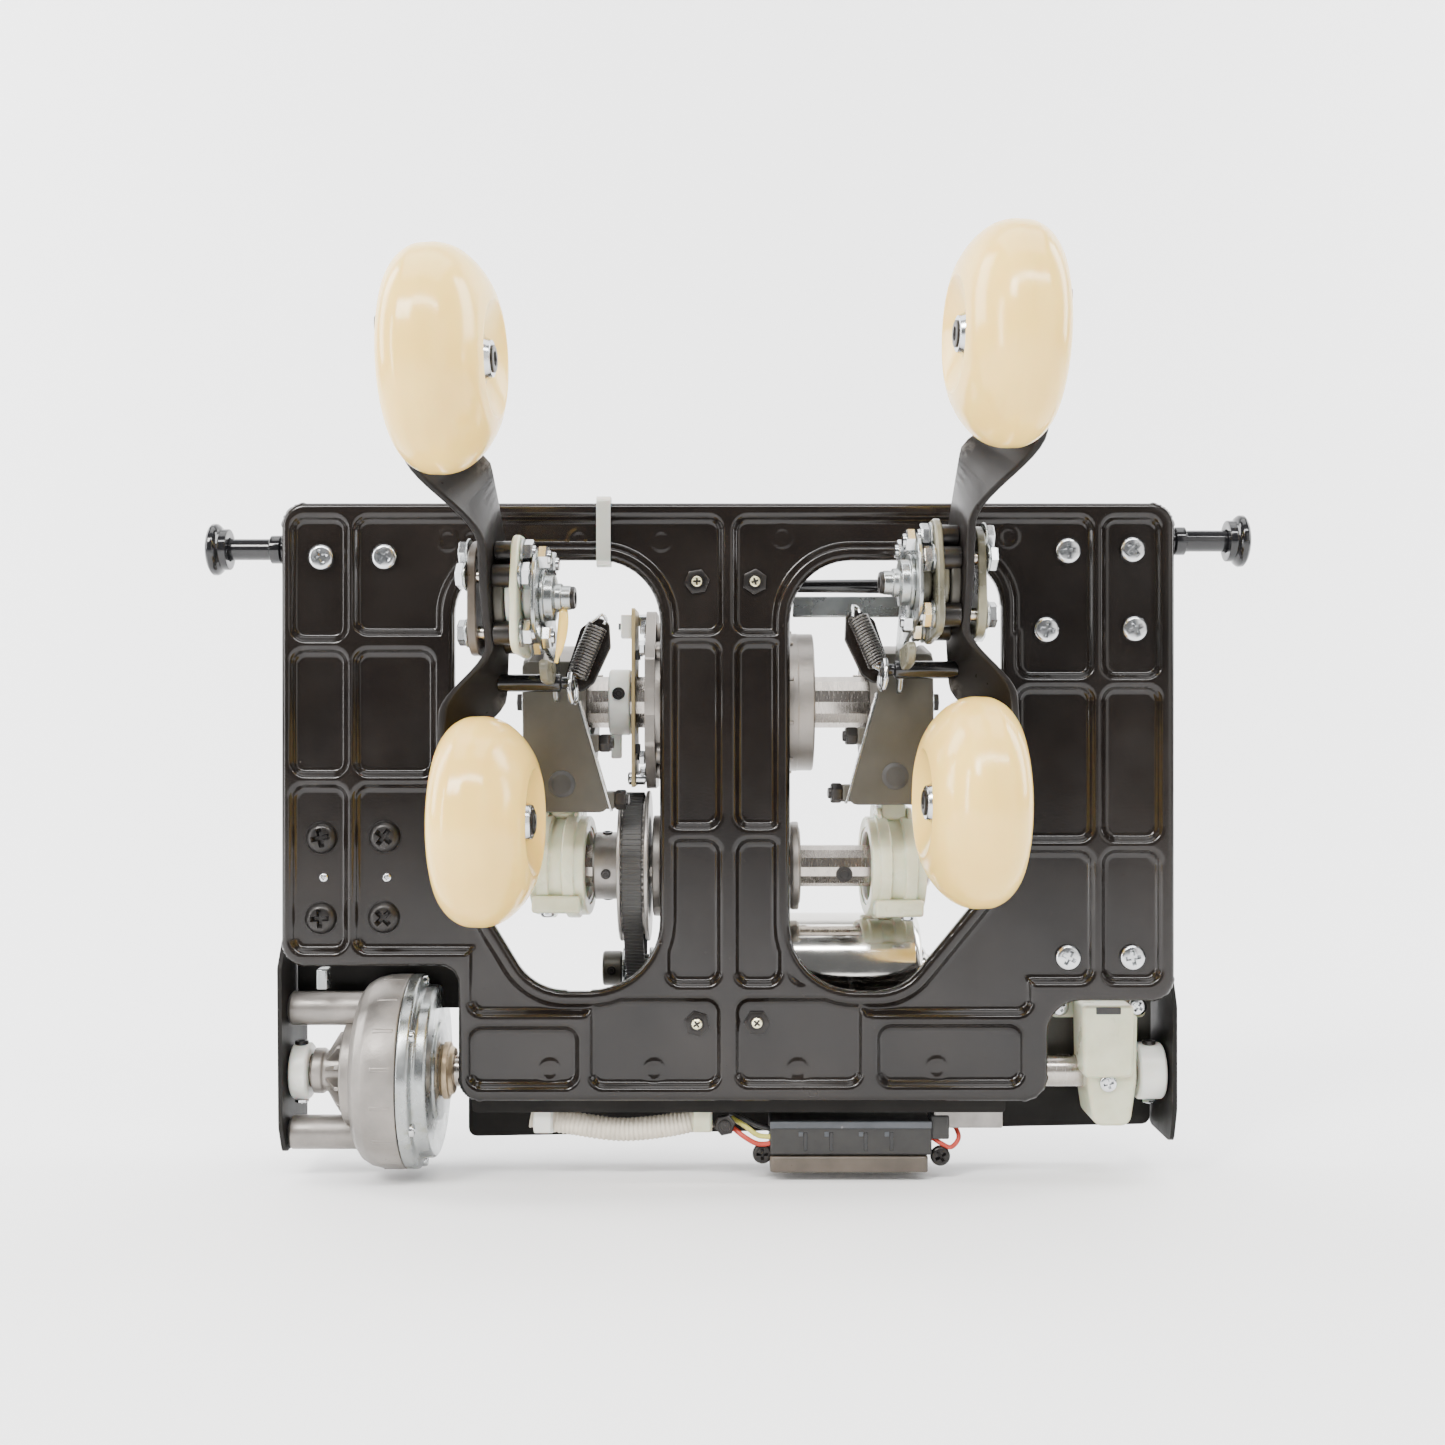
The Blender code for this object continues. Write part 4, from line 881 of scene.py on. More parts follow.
def build_side(side, name):
    hub_flat = joint_frame(f"{name}_sway", side, rock=False)
    hub = joint_frame(f"{name}_rock", side)
    pivot = joint_frame(f"{name}_arm_pivot", side)
    bracket = f"{name}_bracket"
    arm = f"{name}_swing_arm"
    lathe(f"{name}_hub_ring", ring(19.8, 27, -8.3, 8.3, 1.0), hub_flat, "cast_aluminium", f"{name}_hub",
            (f"{name}_hub_housing",))
    build_carrier(name, side, hub, pivot, bracket)
    build_spring(name, side, hub, bracket, arm)
    build_pivot(name, side, pivot, arm, bracket)
    build_arm(name, side, pivot, arm)
    for label in ("upper", "lower"):
        build_roller(name, side, label, joint_frame(f"{name}_{label}_spin", side), arm, f"{name}_{label}_wheel")
    lift = math.asin(38 * math.sin(ROCK) / 40.1)
    rod = Matrix.Translation(Vector(JOINTS[f"{name}_rod_turn"]["pos_m"]) / MM)
    rod = rod @ Matrix.Rotation(side * SPLAY, 4, "Z") @ Matrix.Rotation(side * lift, 4, "X")
    build_rod(name, side, rod, f"{name}_connecting_rod")


# ------------------------------------------------------------------ carriage: drives and gearboxes
KNEAD = (36, -73.3)
TAP = (32, -151.4)
TAP_MOTOR = (50, -203)
LIFT = (20, -247)


def on_axis(axis, x=0.0):
    return at(x, axis[0], axis[1])


def upright(x, axis):
    """A frame whose local x points up."""
    return at(x, axis[0], axis[1]) @ turn("Y", -90)


def scallops(outer, depth, count, steps):
    """A gear-like outline with rounded teeth."""
    points = []
    for k in range(steps):
        angle = 2 * math.pi * k / steps
        r = outer - depth * (0.5 + 0.5 * math.cos(count * angle))
        points.append((r * math.cos(angle), r * math.sin(angle)))
    return points


def build_guides():
    for side, name in ((-1, "left"), (1, "right")):
        place = joint_frame(f"{name}_guide_spin")
        place = at(0, place.translation.y, place.translation.z)
        bobbin = [(5.5, 242.6), (9.4, 242.6), (10.8, 242.0), (12.1, 240.9), (12.1, 238.8), (11.0, 237.4), (9.6, 236.4),
                (9.6, 233.2), (5.5, 233.2)]
        lathe(f"{name}_bobbin", mirrored(bobbin, side), place, "gloss_black", f"{name}_guide",
                (f"{name}_guide_roller",), round_by=0.5)
        axle = [(0, 242.4), (3.6, 242.4), (4.4, 241.6), (4.4, 235), (5, 234.4), (5, 214), (6.6, 213.6), (6.6, 209),
                (5, 208.6), (5, 182), (0, 182)]
        lathe(f"{name}_axle", mirrored(axle, side), place, "gloss_black", "carriage", (f"{name}_guide_axle",),
                round_by=0.3)


def build_gearbox():
    place = on_axis(KNEAD)
    steps = 96
    lathe("gearbox_left_cup", [(13.1, -38), (24, -38), (24, -36.2), (26.5, -36.2), (26.5, -38), (32.6, -38),
            (33, -37.4), (33, -0.2), (28.5, -0.2), (28.5, -32), (13.1, -32)], place, "cast_aluminium", "carriage",
            ("gearbox_left_half",), steps, 0.5)
    lathe("gearbox_right_cup", [(13.1, 38.5), (15.5, 38.5), (16.5, 39.6), (20, 39.6), (20, 40.4), (27.5, 40.4),
            (28, 39.6), (29.5, 39.6), (30, 40.4), (32.2, 40.4), (32.8, 39.8), (32.8, 33), (33, 32.5), (33, 0.2),
            (28.5, 0.2), (28.5, 28), (13.1, 28)], place, "cast_aluminium", "carriage", ("gearbox_right_half",), steps,
            0.5)
    for side in (-1, 1):
        lathe(f"gearbox_seam_{'left' if side < 0 else 'right'}", mirrored(ring(32.6, 34.6, 0.3, 3.4, 0.6), side),
                place, "cast_aluminium", "carriage", steps=steps)
    flange = rounded([(-32.6, -20, 4), (-32.6, 20, 4), (-12, 43, 6), (22, 43, 6), (33, 22, 6), (33, -22, 6),
            (22, -41, 6), (-12, -41, 6)], 6)
    slab("gearbox_flange", [flange, circle(0, 0, 33.2, 72)], -38.6, -33.9, place, "cast_aluminium", "carriage", (),
            0.8)
    for i, (y, z) in enumerate(((-15, 35), (-26, 25), (-15, -34), (-26, -26), (24, 34), (24, -34))):
        fastener(f"gearbox_bolt_{i}", place @ at(-38.6, y, z) @ turn("Z", 180), 3.6, 2.8, "hex", "screw_steel",
                "carriage", 21 * i)
        lathe(f"gearbox_boss_{i}", ring(2.4, 4.8, -33.9, -3.0, 0.6), place @ at(0, y * 0.93, z * 0.93),
                "cast_aluminium", "carriage", steps=36)
    for i in range(10):
        angle = 2 * math.pi * i / 10 + 0.3
        rib = place @ turn("X", math.degrees(angle))
        block(f"gearbox_rib_{i}", (6.0, 30.5), (32.4, 34.2), (-0.9, 0.9), rib, "cast_aluminium", "carriage", bevel=0.5)
    worm = upright(0, (84.5, KNEAD[1]))
    lathe("worm_case", [(0, 33), (18.6, 33), (20, 31.8), (20, 29), (15.2, 27.6), (14, 26), (14, -24), (11, -29.4),
            (0, -30)], worm, "cast_aluminium", "carriage", ("worm_housing",), 64, 0.7)
    lathe("kneading_motor_can", [(0, 88), (8, 88), (8, 84.6), (23.9, 84.6), (25, 83.6), (25.3, 82), (25.3, 37.2),
            (24.8, 35.6), (23.4, 33.4), (0, 33.4)], worm, "bright_steel", "carriage", ("kneading_motor",), 72, 0.5)
    block("kneading_motor_terminal", (69, 82), (-26.6, -24.6), (-9, 9), worm, "grey_plastic", "carriage")
    for side, name in ((-1, "left"), (1, "right")):
        lathe(f"{name}_shaft_cap", mirrored([(0, 98.4), (6.6, 98.4), (7.4, 97.6), (7.4, 97.1), (0, 97.1)], side),
                place, "zinc", "kneading_drive", steps=48, round_by=0.2)
        fastener(f"{name}_shaft_bolt", place @ at(side * 98.3) @ OUTWARD[side], 4.6, 2.8, "hex", "black_oxide",
                "kneading_drive")


def build_collar():
    place = on_axis(KNEAD)
    lathe("collar_band", ring(12.8, 15.8, -56.7, -46.4, 0.7), place, "white_nylon", "kneading_drive",
            ("shaft_collar",), 72, 0.4)
    block("collar_tail", (-56, -51), (-3, 3), (-27, -14.6), place, "white_nylon", "kneading_drive", bevel=0.9)
    fastener("collar_screw", place @ at(-51.6, -15.2, 4) @ turn("Z", -90), 3.0, 1.6, "socket", "black_oxide",
            "kneading_drive")


def build_sensor():
    place = on_axis(KNEAD)
    board = rounded([(-22, -40, 1.5), (16, -40, 1.5), (16, 44, 1.5), (-22, 44, 1.5)], 3)
    slab("sensor_board_sheet", [board, circle(0, 0, 15.5, 56)], -45.2, -43.6, place, "board", "carriage",
            ("sensor_board",), 0.15)
    for i, (y, z, size) in enumerate(((-14, 22, 3.2), (-14, -22, 3.2), (8, 24, 2.4), (6, -26, 2.6))):
        block(f"sensor_chip_{i}", (-43.6, -41.4), (y - size, y + size), (z - size * 0.7, z + size * 0.7), place,
                "black_rubber", "carriage", bevel=0.3)
    block("sensor_socket", (-50.4, -45.2), (-19, -9), (30, 41), place, "white_nylon", "carriage", bevel=0.5)
    for i in range(4):
        block(f"sensor_pin_{i}", (-51.6, -50.2), (-17.6 + 2.4 * i, -16.8 + 2.4 * i), (34, 37), place, "screw_steel",
                "carriage", bevel=0.1)
    for i, (y, z) in enumerate(((-18, -36), (12, 40), (12, -36))):
        lathe(f"sensor_post_{i}", ring(1.4, 3.0, -43.4, -38.8, 0.2), place @ at(0, y, z), "screw_steel", "carriage",
                steps=32, round_by=0.15)
        fastener(f"sensor_screw_{i}", place @ at(-45.2, y, z) @ turn("Z", 180), 3.0, 2.0, "pan", "screw_steel",
                "carriage", 40 * i)


def build_tapping():
    place = on_axis(TAP)
    lathe("tapping_case", [(10.6, 33.5), (13, 33.5), (13.6, 34.2), (17.8, 34.2), (18.4, 33.5), (20.6, 33.5), (21, 33),
            (21, 30.4), (19, 27.6), (17, 26), (17, 8), (17.8, 7.4), (17.8, 3.4), (17, 2.8), (17, -27), (18.6, -29.4),
            (23.4, -31), (24, -31.8), (24, -35), (23.6, -35.4), (10.6, -35.4)], place, "cast_aluminium", "carriage",
            ("tapping_housing",), 88, 0.5)
    for i, angle in enumerate((205, 275, 345, 65, 135)):
        y = 13.6 * math.cos(math.radians(angle))
        z = 13.6 * math.sin(math.radians(angle))
        block(f"tapping_rib_{i}", (-26, 24), (16.6, 19.6), (-1.1, 1.1), place @ turn("X", angle), "cast_aluminium",
                "carriage", bevel=0.7)
    tooth = scallops(32.4, 1.3, 60, 480)
    slab("pulley_teeth", [tooth, circle(0, 0, 10.4, 48)], -49.8, -38.6, place, "sintered", "tapping_drive",
            ("tapping_pulley",), 0.0)
    for label, low, high in (("outer", -51.2, -49.6), ("inner", -38.8, -36.9)):
        lathe(f"pulley_flange_{label}", ring(10.4, 35.8, low, high, 0.5), place, "sintered", "tapping_drive", steps=96,
                round_by=0.3)
    lathe("pulley_hub", [(10.2, -51), (15.2, -51), (16, -51.8), (16, -62.8), (15.0, -63.8), (10.2, -63.8)], place,
            "sintered", "tapping_drive", steps=64, round_by=0.3)
    for i, angle in enumerate((100, 190, 280, 10)):
        hole = place @ turn("X", angle) @ at(-57.4, 15.9, 0) @ turn("Z", 90)
        fastener(f"pulley_set_screw_{i}", hole, 2.4, 0.7, "socket", "black_oxide", "tapping_drive")
    # a thin black cup on the shaft stands in for the cross hole: painted shade of the hole's dark inside
    hole = place @ at(55, 0, 0) @ turn("X", 200) @ at(0, 9.85, 0) @ turn("Z", 90)
    fastener("shaft_cross_hole_shade", hole, 3.9, 0.35, "socket", "black_oxide", "tapping_drive")
    motor = on_axis(TAP_MOTOR)
    small = scallops(6.9, 1.1, 15, 180)
    slab("motor_pulley_teeth", [small, circle(0, 0, 3.0, 32)], -50.2, -38.2, motor, "zinc", "motor_drive",
            ("motor_pulley",), 0.0)
    for label, low, high in (("outer", -51.2, -50.2), ("inner", -38.3, -36.2)):
        lathe(f"motor_pulley_flange_{label}", ring(3.0, 10.2, low, high, 0.4), motor, "zinc", "motor_drive", steps=64,
                round_by=0.2)
    lathe("motor_pulley_hub", [(0, -51.2), (7.4, -51.2), (8.4, -52.2), (8.4, -60.2), (7.6, -61), (0, -61)], motor,
            "dull_and_shaded_zinc", "motor_drive", steps=56, round_by=0.3)
    fastener("motor_pulley_set_screw", motor @ at(-56.4, -8.3, 0) @ turn("Z", -90), 2.2, 0.7, "socket", "black_oxide",
            "motor_drive")
    lathe("tapping_motor_can", [(0, 98.6), (6.2, 98.6), (7, 97.8), (7, 96.6), (9, 96.2), (9, 92.8), (23.6, 92.6),
            (25.6, 91.6), (27, 89.4), (27, 1.5), (26.3, 0.9), (26.3, -1.2), (27, -1.8), (26.6, -3.4), (24.6, -5),
            (10, -5), (10, -29.2), (9, -30), (0, -30)], motor, "motor_silver", "carriage", ("tapping_motor",), 112,
            0.5)
    for i, angle in enumerate((150, 210, 30, 330)):
        y = 20 * math.cos(math.radians(angle))
        z = 20 * math.sin(math.radians(angle))
        fastener(f"motor_end_screw_{i}", motor @ at(92.5, y, z), 2.4, 1.3, "pan", "screw_steel", "carriage", 22 * i)


def belt_path(groove_a, groove_b, lift, steps):
    """Evenly spaced (position, inward) round both pulleys, lift outside the grooves."""
    a = Vector(TAP)
    b = Vector(TAP_MOTOR)
    ra, rb = groove_a + lift, groove_b + lift
    gap = b - a
    base = math.atan2(gap.y, gap.x)
    lean = math.acos((ra - rb) / gap.length)
    points = []
    for centre, radius, start, sweep, count in ((a, ra, base + lean, 2 * math.pi - 2 * lean, 200),
            (b, rb, base - lean, 2 * lean, 60)):
        for i in range(count):
            angle = start + sweep * i / (count - 1)
            away = Vector((math.cos(angle), math.sin(angle)))
            points.append((centre + radius * away, -away))
    lengths = [0.0]
    for first, second in zip(points, points[1:] + points[:1]):
        lengths.append(lengths[-1] + (second[0] - first[0]).length)
    result = []
    k = 0
    for i in range(steps):
        wanted = lengths[-1] * i / steps
        while lengths[k + 1] < wanted:
            k += 1
        t = (wanted - lengths[k]) / max(lengths[k + 1] - lengths[k], 1e-9)
        first = points[k]
        second = points[(k + 1) % len(points)]
        result.append((first[0].lerp(second[0], t), first[1].lerp(second[1], t).normalized()))
    return result


def build_belt():
    """Moulded belt: thin cross ridges on the back; its teeth inside are not drawn."""
    per_tooth = 10
    path = belt_path(32.48, 6.69, 0.45, BELT_TEETH * per_tooth)
    work = bmesh.new()
    rings = []
    for i, (point, inward) in enumerate(path):
        phase = (i % per_tooth) / per_tooth
        back = 0.42 if 0.30 < phase < 0.62 else 0.0
        edge = point - inward * (1.45 + back)
        top = point - inward * (1.75 + back)
        rings.append([work.verts.new((x, where.x, where.y)) for x, where in ((-49.0, edge), (-48.6, top), (-40.2, top),
                (-39.8, edge), (-39.8, point), (-49.0, point))])
    skin(work, rings, closed=True)
    emit("belt_loop", work, IDENTITY, "black_rubber", "carriage", ("timing_belt",), angle=30)


def build_lift():
    place = on_axis(LIFT)
    hub = [(8, -194.5), (10.6, -194.5), (10.6, -190), (9.6, -189), (9.6, -179.5), (11, -178.7), (24, -178.7),
            (25, -178), (25, -173), (26.5, -172.6), (33.5, -172.3), (37.5, -171.2), (41.2, -168.6), (43.6, -164.6),
            (44.8, -159.5), (45.1, -155.6), (45.1, -149), (41, -149), (41, -158), (32, -167), (8, -167)]
    lathe("lift_case", hub, place, "cast_aluminium", "carriage", ("lift_gearbox",), 112, 0.8)
    for i in range(12):
        rib = place @ turn("X", 15 + 30 * i)
        work = slab_mesh([[(-188, 9.2), (-178.9, 9.2), (-178.9, 19.5), (-181.5, 19.5)]], -1.0, 1.0)
        emit(f"lift_rib_{i}", work, rib, "cast_aluminium", "carriage", bevel=0.4)
    for i in range(16):
        rib = place @ turn("X", 11 + 22.5 * i)
        block(f"lift_case_rib_{i}", (-160.5, -150.6), (43.0, 45.2), (-1.2, 1.2), rib, "cast_aluminium", "carriage",
                bevel=0.7)
    for i, (y, z) in enumerate(((-4, 30), (-4, -28))):
        lathe(f"lift_post_{i}", [(0, -205.2), (6.4, -205.2), (7.9, -203.9), (7.9, -167), (0, -167)],
                place @ at(0, y, z), "cast_aluminium", "carriage", steps=64, round_by=0.5)
        fastener(f"lift_post_screw_{i}", place @ at(-205.1, y, z) @ turn("Z", 180), 5.2, 2.6, "pan", "screw_steel",
                "carriage", 30)
    cover = [(12, -148.8), (44.6, -148.8), (45.1, -148.2), (45.1, -144), (44.3, -143.2), (41, -142.4), (40, -141),
            (40, -137), (39, -136), (24, -136), (23, -134.6), (14, -134.5), (12, -134.5)]
    lathe("lift_cover", cover, place, "zinc", "carriage", ("lift_gearbox_cover",), 112, 0.7)
    for i in range(6):
        angle = math.radians(28 + 60 * i)
        y, z = 41.9 * math.cos(angle), 41.9 * math.sin(angle)
        fastener(f"lift_cover_screw_{i}", place @ at(-143.3, y, z), 3.0, 2.4, "pan", "screw_steel", "carriage", 25 * i)
    bush = [(8, -147), (11.6, -147), (11.6, -133.8), (13.4, -133.4), (13.4, -130.8), (11.6, -130.4), (10.6, -128.5),
            (8, -128.5)]
    lathe("lift_bush_ring", bush, place, "brass", "carriage", ("lift_bush",), 56, 0.4)
    lathe("lift_motor_can", [(0, -118), (8, -118), (8, -121.8), (22, -122), (23.4, -122.8), (24, -124), (24, -185.8),
            (23.4, -187.4), (22, -188), (12, -188), (12, -198.2), (11, -199), (0, -199)], at(-157, 60, 0) @ turn("Y",
            -90), "bright_steel", "carriage", ("lift_motor",), 80, 0.5)
    shaft = [(0, -204.2), (5.6, -204.2), (7.5, -202.4), (7.5, 201), (5.8, 203), (0, 203)]
    lathe("lift_shaft_rod", shaft, place, "bright_steel", "lift_drive", ("lift_shaft",), 56, 0.3)
    for name, low, high in (("left", -204.6, -196), ("right", 191.5, 204.4)):
        width = high - low
        wheel = [(7.8, low), (12.2, low), (13.2, low + 1.0), (13.3, low + width * 0.5), (13.2, high - 1.0),
                (12.2, high), (7.8, high)]
        lathe(f"{name}_rack_wheel", wheel, place, "white_nylon", "lift_drive", (f"{name}_lift_wheel",), 64, 0.4)
    for side, name, x in ((-1, "left", -200.4), (1, "right", 197.9)):
        fastener(f"{name}_wheel_screw", place @ at(x, -2, 12.9) @ turn("Y", -90), 3.2, 1.6, "socket", "black_oxide",
                "lift_drive")
        fastener(f"{name}_wheel_nut", place @ at(x, -2, -12.9) @ turn("Y", 90), 3.2, 1.6, "nut", "screw_steel",
                "lift_drive", 15)


def build_foot():
    """Nylon bearing block of the lift shaft, with its flange, saddle and screws."""
    for i, x in enumerate((156.6, 193.2)):
        fastener(f"foot_screw_{i}", at(x, 21.9, -217) @ turn("Z", -90), 4.4, 2.6, "pan", "screw_steel", "carriage",
                24 + 31 * i)
    body = rounded([(165.8, -218, 2), (189.4, -218, 2), (188.8, -250, 4), (186, -269.6, 5), (169, -269.6, 5),
            (166.2, -250, 4)], 5)
    slab("shaft_block_body", [body], -33, -3.2, IDENTITY, "nylon", "carriage", ("shaft_block",), 1.6, plane="XZ")
    flange = frame_loop(152.8, 197.6, -222.6, -211.8, 2.5)
    slab("shaft_block_flange", [flange], -34.4, -22.4, IDENTITY, "nylon", "carriage", (), 1.2, plane="XZ")
    saddle = rounded([(163.2, -213.4, 2), (187.2, -213.4, 2), (186.6, -246.8, 3), (163.8, -246.8, 3)], 6)
    slab("shaft_block_saddle", [saddle], -24, -0.6, IDENTITY, "nylon", "carriage", (), 1.4, plane="XZ")
    # a thin black block on the saddle's face marks the slot: painted shade of the opening
    block("shaft_block_slot_shade", (169.5, 181), (0.2, 1.6), (-217.4, -214.2), IDENTITY, "black_rubber", "carriage",
            bevel=0.4)
    fastener("foot_front_screw", at(175.5, 3.1, -249.6) @ turn("Z", -90), 4.0, 1.9, "pan", "screw_steel", "carriage",
            15)


def build_plates():
    """The strip behind the sheet's lower edge, and screws of the rear and side plates."""
    strip = frame_loop(-118, 128, -263.0, -238, 2.0)
    slab("backing_strip", [strip], -4.6, -2.6, IDENTITY, "side_paint", "carriage", (), 0.3, plane="XZ")
    for i, (x, z) in enumerate(((-110, -274), (190, -268), (-60, -240), (150, -240))):
        fastener(f"rear_screw_{i}", at(x, 46.8, z) @ turn("Z", 90), 4.2, 2.4, "pan", "screw_steel", "carriage", 19 * i)
    block("lift_strap", (-189.5, -184.5), (-6.0, 4.0), (-206, -196.5), at(0, 6, 0), "zinc", "carriage", bevel=0.8)


def build_wiring():
    """Sleeve, clips, tie, connector block and short wires that stay fixed to the carriage."""
    sleeve = [(-92, 14, -267), (-72, 14, -270.6), (-50, 14, -273.4), (-28, 14, -271.5), (-8, 14, -267)]
    tube("wire_sleeve_cloth", sleeve, lambda t: 5.3 + 0.25 * math.sin(t * 260), IDENTITY, "sleeve", "carriage",
            ("wire_sleeve",), sides=28, fine=240)
    for label, x, z, finish in (("left", -86, -268.2, "white_nylon"), ("right", -12, -267.8, "nylon")):
        lathe(f"sleeve_clip_{label}", ring(5.4, 6.8, -4.6, 4.6, 0.5), at(x, 14, z), finish, "carriage", steps=48)
        block(f"sleeve_clip_tab_{label}", (-4, 4), (-8.6, -5.8), (-5.2, 5.4), at(x, 14, z), finish, "carriage")
    outer = frame_loop(-5.4, 4.2, -11.4, 20.6, 2.4)
    inner = frame_loop(-3.8, 2.6, -9.6, 19.0, 1.6)
    slab("cable_tie_band", [outer, inner], -60.2, -53.8, IDENTITY, "white_nylon", "carriage", (), 0.4)
    block("connector_case", (19.5, 94.8), (8, 40), (-284.2, -268.4), IDENTITY, "black_rubber", "carriage",
            ("connector_block",), 1.0)
    for i, x in enumerate((36, 48, 64, 76)):
        block(f"connector_slot_{i}", (x - 0.9, x + 0.9), (7.7, 8.6), (-282.0, -273.4), IDENTITY, "gloss_black",
                "carriage", bevel=0.3)
        block(f"connector_lip_{i}", (x - 3.2, x - 1.1), (7.5, 8.4), (-275.4, -273.2), IDENTITY, "grey_plastic",
                "carriage", bevel=0.3)
    block("connector_ledge", (19.5, 94.8), (7.2, 9), (-271.6, -268.4), IDENTITY, "grey_plastic", "carriage", bevel=0.5)
    slab("connector_base", [frame_loop(19.5, 93, 7, 42, 2.0)], -292, -284.6, IDENTITY, "brown_nylon", "carriage",
            ("connector_plate",), 0.6, plane="XY")
    wires = {
        "red": [(2, 12, -272), (8, 9, -276), (14, 9, -279), (20.5, 10, -279)],
        "yellow": [(2, 14, -268), (8, 10, -271), (14, 9, -275), (20.5, 10, -276)],
        "black": [(1, 16, -266), (7, 12, -268), (14, 11, -271), (20.5, 12, -273)],
    }
    for name, points in wires.items():
        tube(f"wire_{name}", points, 1.2, IDENTITY, f"wire_{name}", "carriage", sides=10)
    tube("wire_red_loop", [(94, 13, -276), (99, 11, -279), (104, 11, -281), (108, 14, -277), (106, 18, -271)], 1.1,
            IDENTITY, "wire_red", "carriage", sides=10)
    block("connector_side_socket", (94.6, 103), (9, 20), (-277, -266), IDENTITY, "black_rubber", "carriage")
    for i, (x, z) in enumerate(((16, -284), (99, -285))):
        fastener(f"connector_screw_{i}", at(x, 12, z) @ turn("Z", -90), 4.6, 3.2, "pan", "black_oxide", "carriage",
                31 * i)
    fastener("sleeve_nut", at(-1.5, 10, -270) @ turn("Z", -90), 5.0, 3.4, "nut", "black_oxide", "carriage", 12)
    block("zinc_tab", (96, 128), (10, 12), (-272, -262.4), IDENTITY, "sintered", "carriage")


def build_inner_details():
    """The rod, bar and light strips seen through the tops of the two openings."""
    lathe("spacer_rod", [(0, 84), (3.9, 84), (4.2, 83), (4.2, 76), (3.4, 75), (3.0, 32), (0, 32)], at(0, 30, -18),
            "gloss_black", "carriage", steps=48)
    block("spacer_bar", (31, 88), (34, 37), (-32.5, -22.5), IDENTITY, "zinc", "carriage")
    block("notch_flange", (-205, -125), (28, 30.5), (-219, -192), IDENTITY, "side_paint", "carriage")
    for side, name in ((-1, "left"), (1, "right")):
        block(f"{name}_shaft_key", (side * 63 - 3, side * 63 + 3), (-2, 2), (11, 13.2), on_axis(KNEAD), "bright_steel",
                "kneading_drive", bevel=0.4)


# ------------------------------------------------------------------ carried-over frame nodes
def finish_nodes():
    nodes = {
        "left_side_plate": "side_paint", "right_side_plate": "side_paint", "rear_plate": "side_paint",
        "shaft_wall": "dull_and_shaded_zinc", "left_guide_bracket": "black_paint", "right_guide_bracket": "black_paint",
        "kneading_shaft": "bright_steel", "tapping_shaft": "bright_steel", "worm_wheel": "brass",
        "lift_worm_wheel": "brass", "cable_tie": "white_nylon",
    }
    for name, finish in nodes.items():
        node = frame["nodes"][name]
        node.data.materials.clear()
        node.data.materials.append(FINISH[finish])
        node.data.shade_smooth()
        node.data.set_sharp_from_angle(angle=math.radians(32))
        bevelled(node, 0.45, 2, 40)


# ------------------------------------------------------------------ floor, light and camera
def stage_material():
    material = bpy.data.materials.new("paper")
    material.use_nodes = True
    shader = material.node_tree.nodes["Principled BSDF"]
    shader.inputs["Base Color"].default_value = (0.93, 0.93, 0.935, 1)
    shader.inputs["Roughness"].default_value = 0.9
    return material


def aim(item, target):
    direction = Vector(target) - item.location
    item.rotation_euler = direction.to_track_quat("-Z", "Y").to_euler()


def area_light(name, location, target, size, watts, colour=(1, 1, 1)):
    data = bpy.data.lights.new(name, "AREA")
    data.energy = watts
    data.shape = "RECTANGLE"
    data.size, data.size_y = size
    data.color = colour
    lamp = add_object(name, data)
    lamp.location = location
    aim(lamp, target)


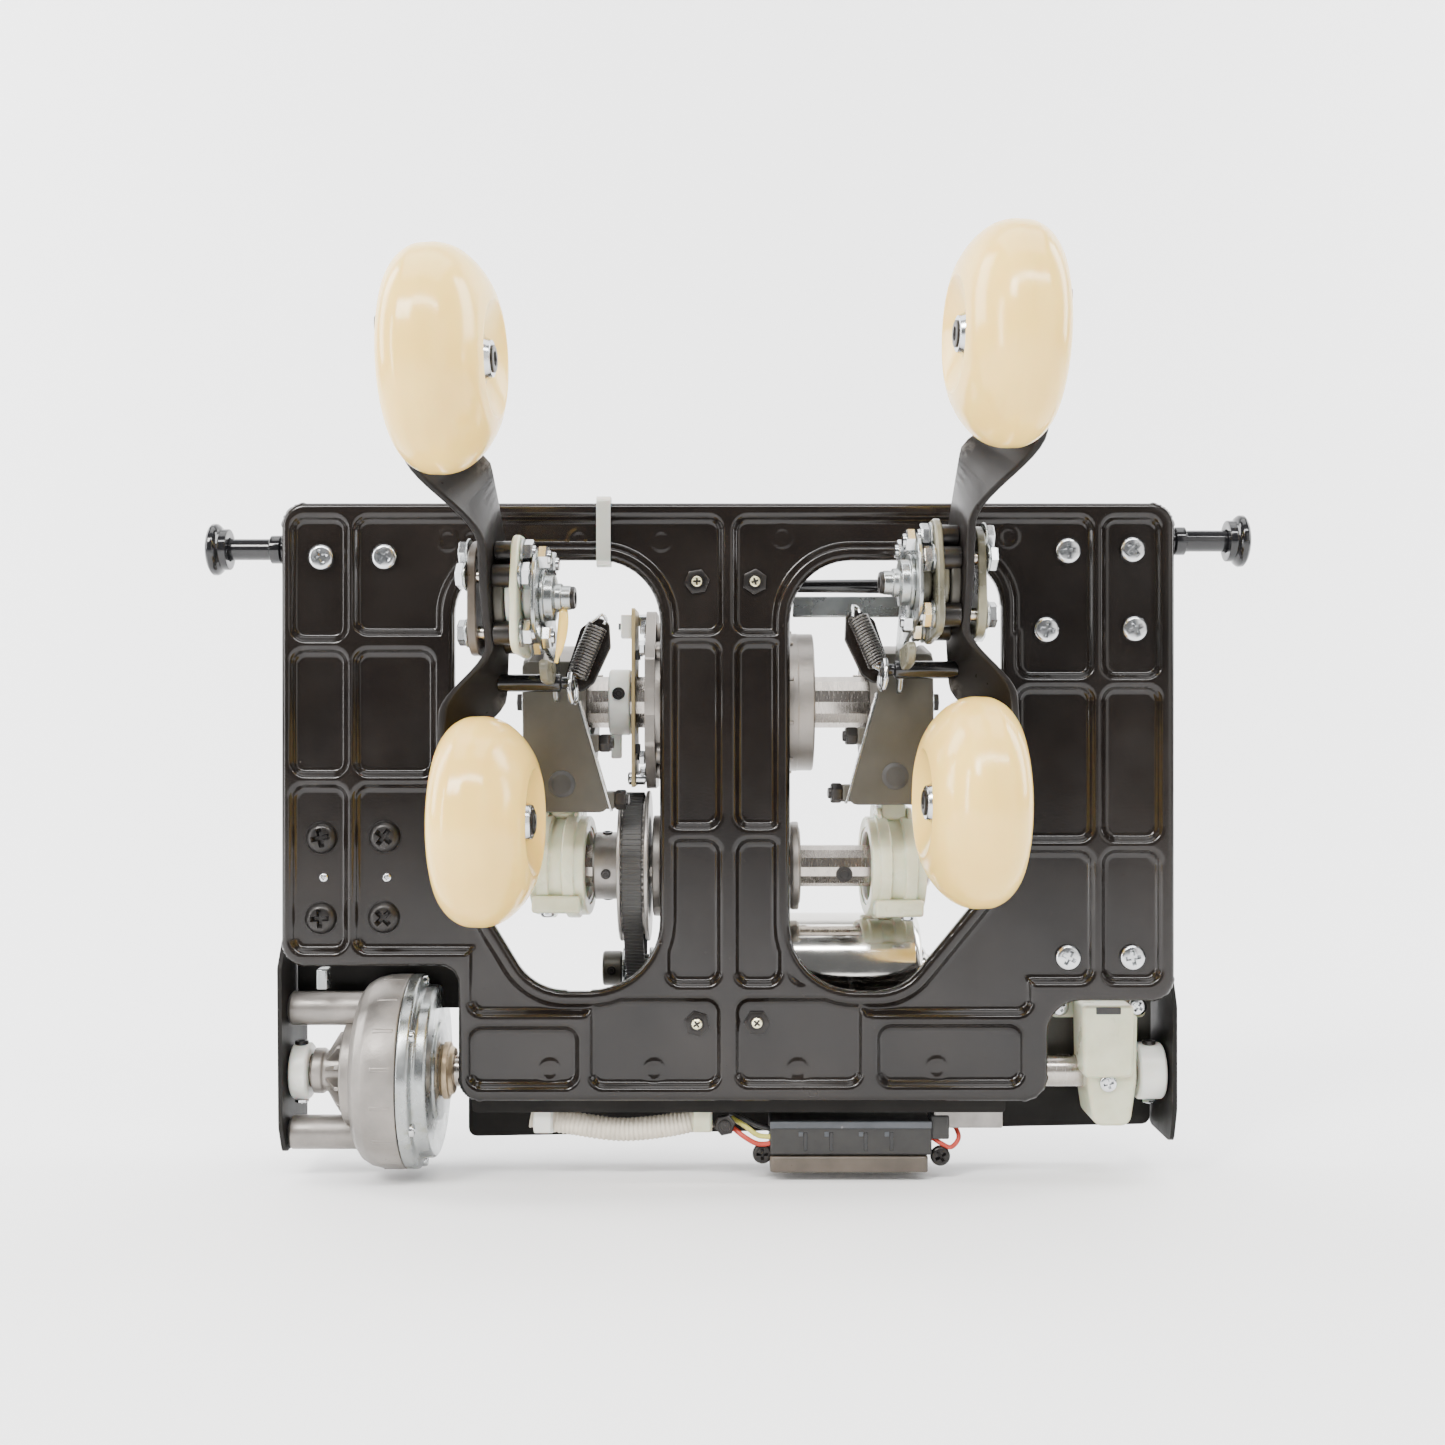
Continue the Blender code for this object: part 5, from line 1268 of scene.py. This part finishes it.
def build_stage():
    """A pale sweep: floor under the part, curving up into a wall behind it."""
    work = bmesh.new()
    floor_z = cad_box[0][2] - 0.004
    profile = [(-3.0, floor_z), (0.75, floor_z)]
    profile += [(0.75 + 0.5 * math.sin(a),
            floor_z + 0.5 * (1 - math.cos(a))) for a in (math.pi / 2 * i / 16 for i in range(1, 17))]
    profile.append((1.25, floor_z + 4.5))
    rows = [[work.verts.new((x, y, z)) for y, z in profile] for x in (-5.0, 5.0)]
    for k in range(len(profile) - 1):
        work.faces.new((rows[0][k], rows[0][k + 1], rows[1][k + 1], rows[1][k]))
    mesh = bpy.data.meshes.new("sweep")
    work.to_mesh(mesh)
    work.free()
    mesh.shade_smooth()
    floor = add_object("sweep", mesh)
    mesh.materials.append(stage_material())


def build_lights():
    target = (0, 0, CAMERA_HEIGHT)
    area_light("key", (-1.0, -1.5, 1.25), target, (0.55, 0.55), 40, (1.0, 0.985, 0.96))
    area_light("strip_top", (0.1, -0.95, 0.95), (0.05, 0, -0.12), (1.4, 0.16), 22)
    area_light("strip_left", (-1.25, -0.8, 0.05), (-0.1, 0, -0.1), (0.14, 1.3), 15)
    area_light("fill", (1.15, -1.35, 0.15), target, (1.1, 1.5), 9, (1.0, 0.98, 0.95))
    area_light("top", (0, 0.1, 2.0), target, (1.8, 1.4), 34)
    area_light("wall_left", (-1.9, 0.35, 1.0), (-0.3, 1.2, 0.0), (0.8, 2.2), 85)
    area_light("wall_right", (1.9, 0.35, 1.0), (0.3, 1.2, 0.0), (0.8, 2.2), 85)
    world = bpy.data.worlds.new("room")
    world.use_nodes = True
    background = world.node_tree.nodes["Background"]
    background.inputs["Color"].default_value = (0.90, 0.92, 0.95, 1)
    background.inputs["Strength"].default_value = 0.22
    bpy.context.scene.world = world


def build_camera():
    data = bpy.data.cameras.new("view")
    data.lens = 43.32
    data.sensor_width = 36.0
    data.shift_x = -0.0038
    data.clip_start = 0.02
    camera = add_object("view", data)
    camera.location = (0, -CAMERA_DISTANCE, CAMERA_HEIGHT)
    camera.rotation_euler = (math.pi / 2, 0, 0)
    bpy.context.scene.camera = camera


# ------------------------------------------------------------------ build
build_plate()
build_plate_fasteners()
build_guides()
build_gearbox()
build_collar()
build_sensor()
build_tapping()
build_belt()
build_lift()
build_foot()
build_plates()
build_wiring()
build_inner_details()
for side_sign, side_name in ((-1, "left"), (1, "right")):
    build_side(side_sign, side_name)
finish_nodes()
build_stage()
build_lights()
build_camera()
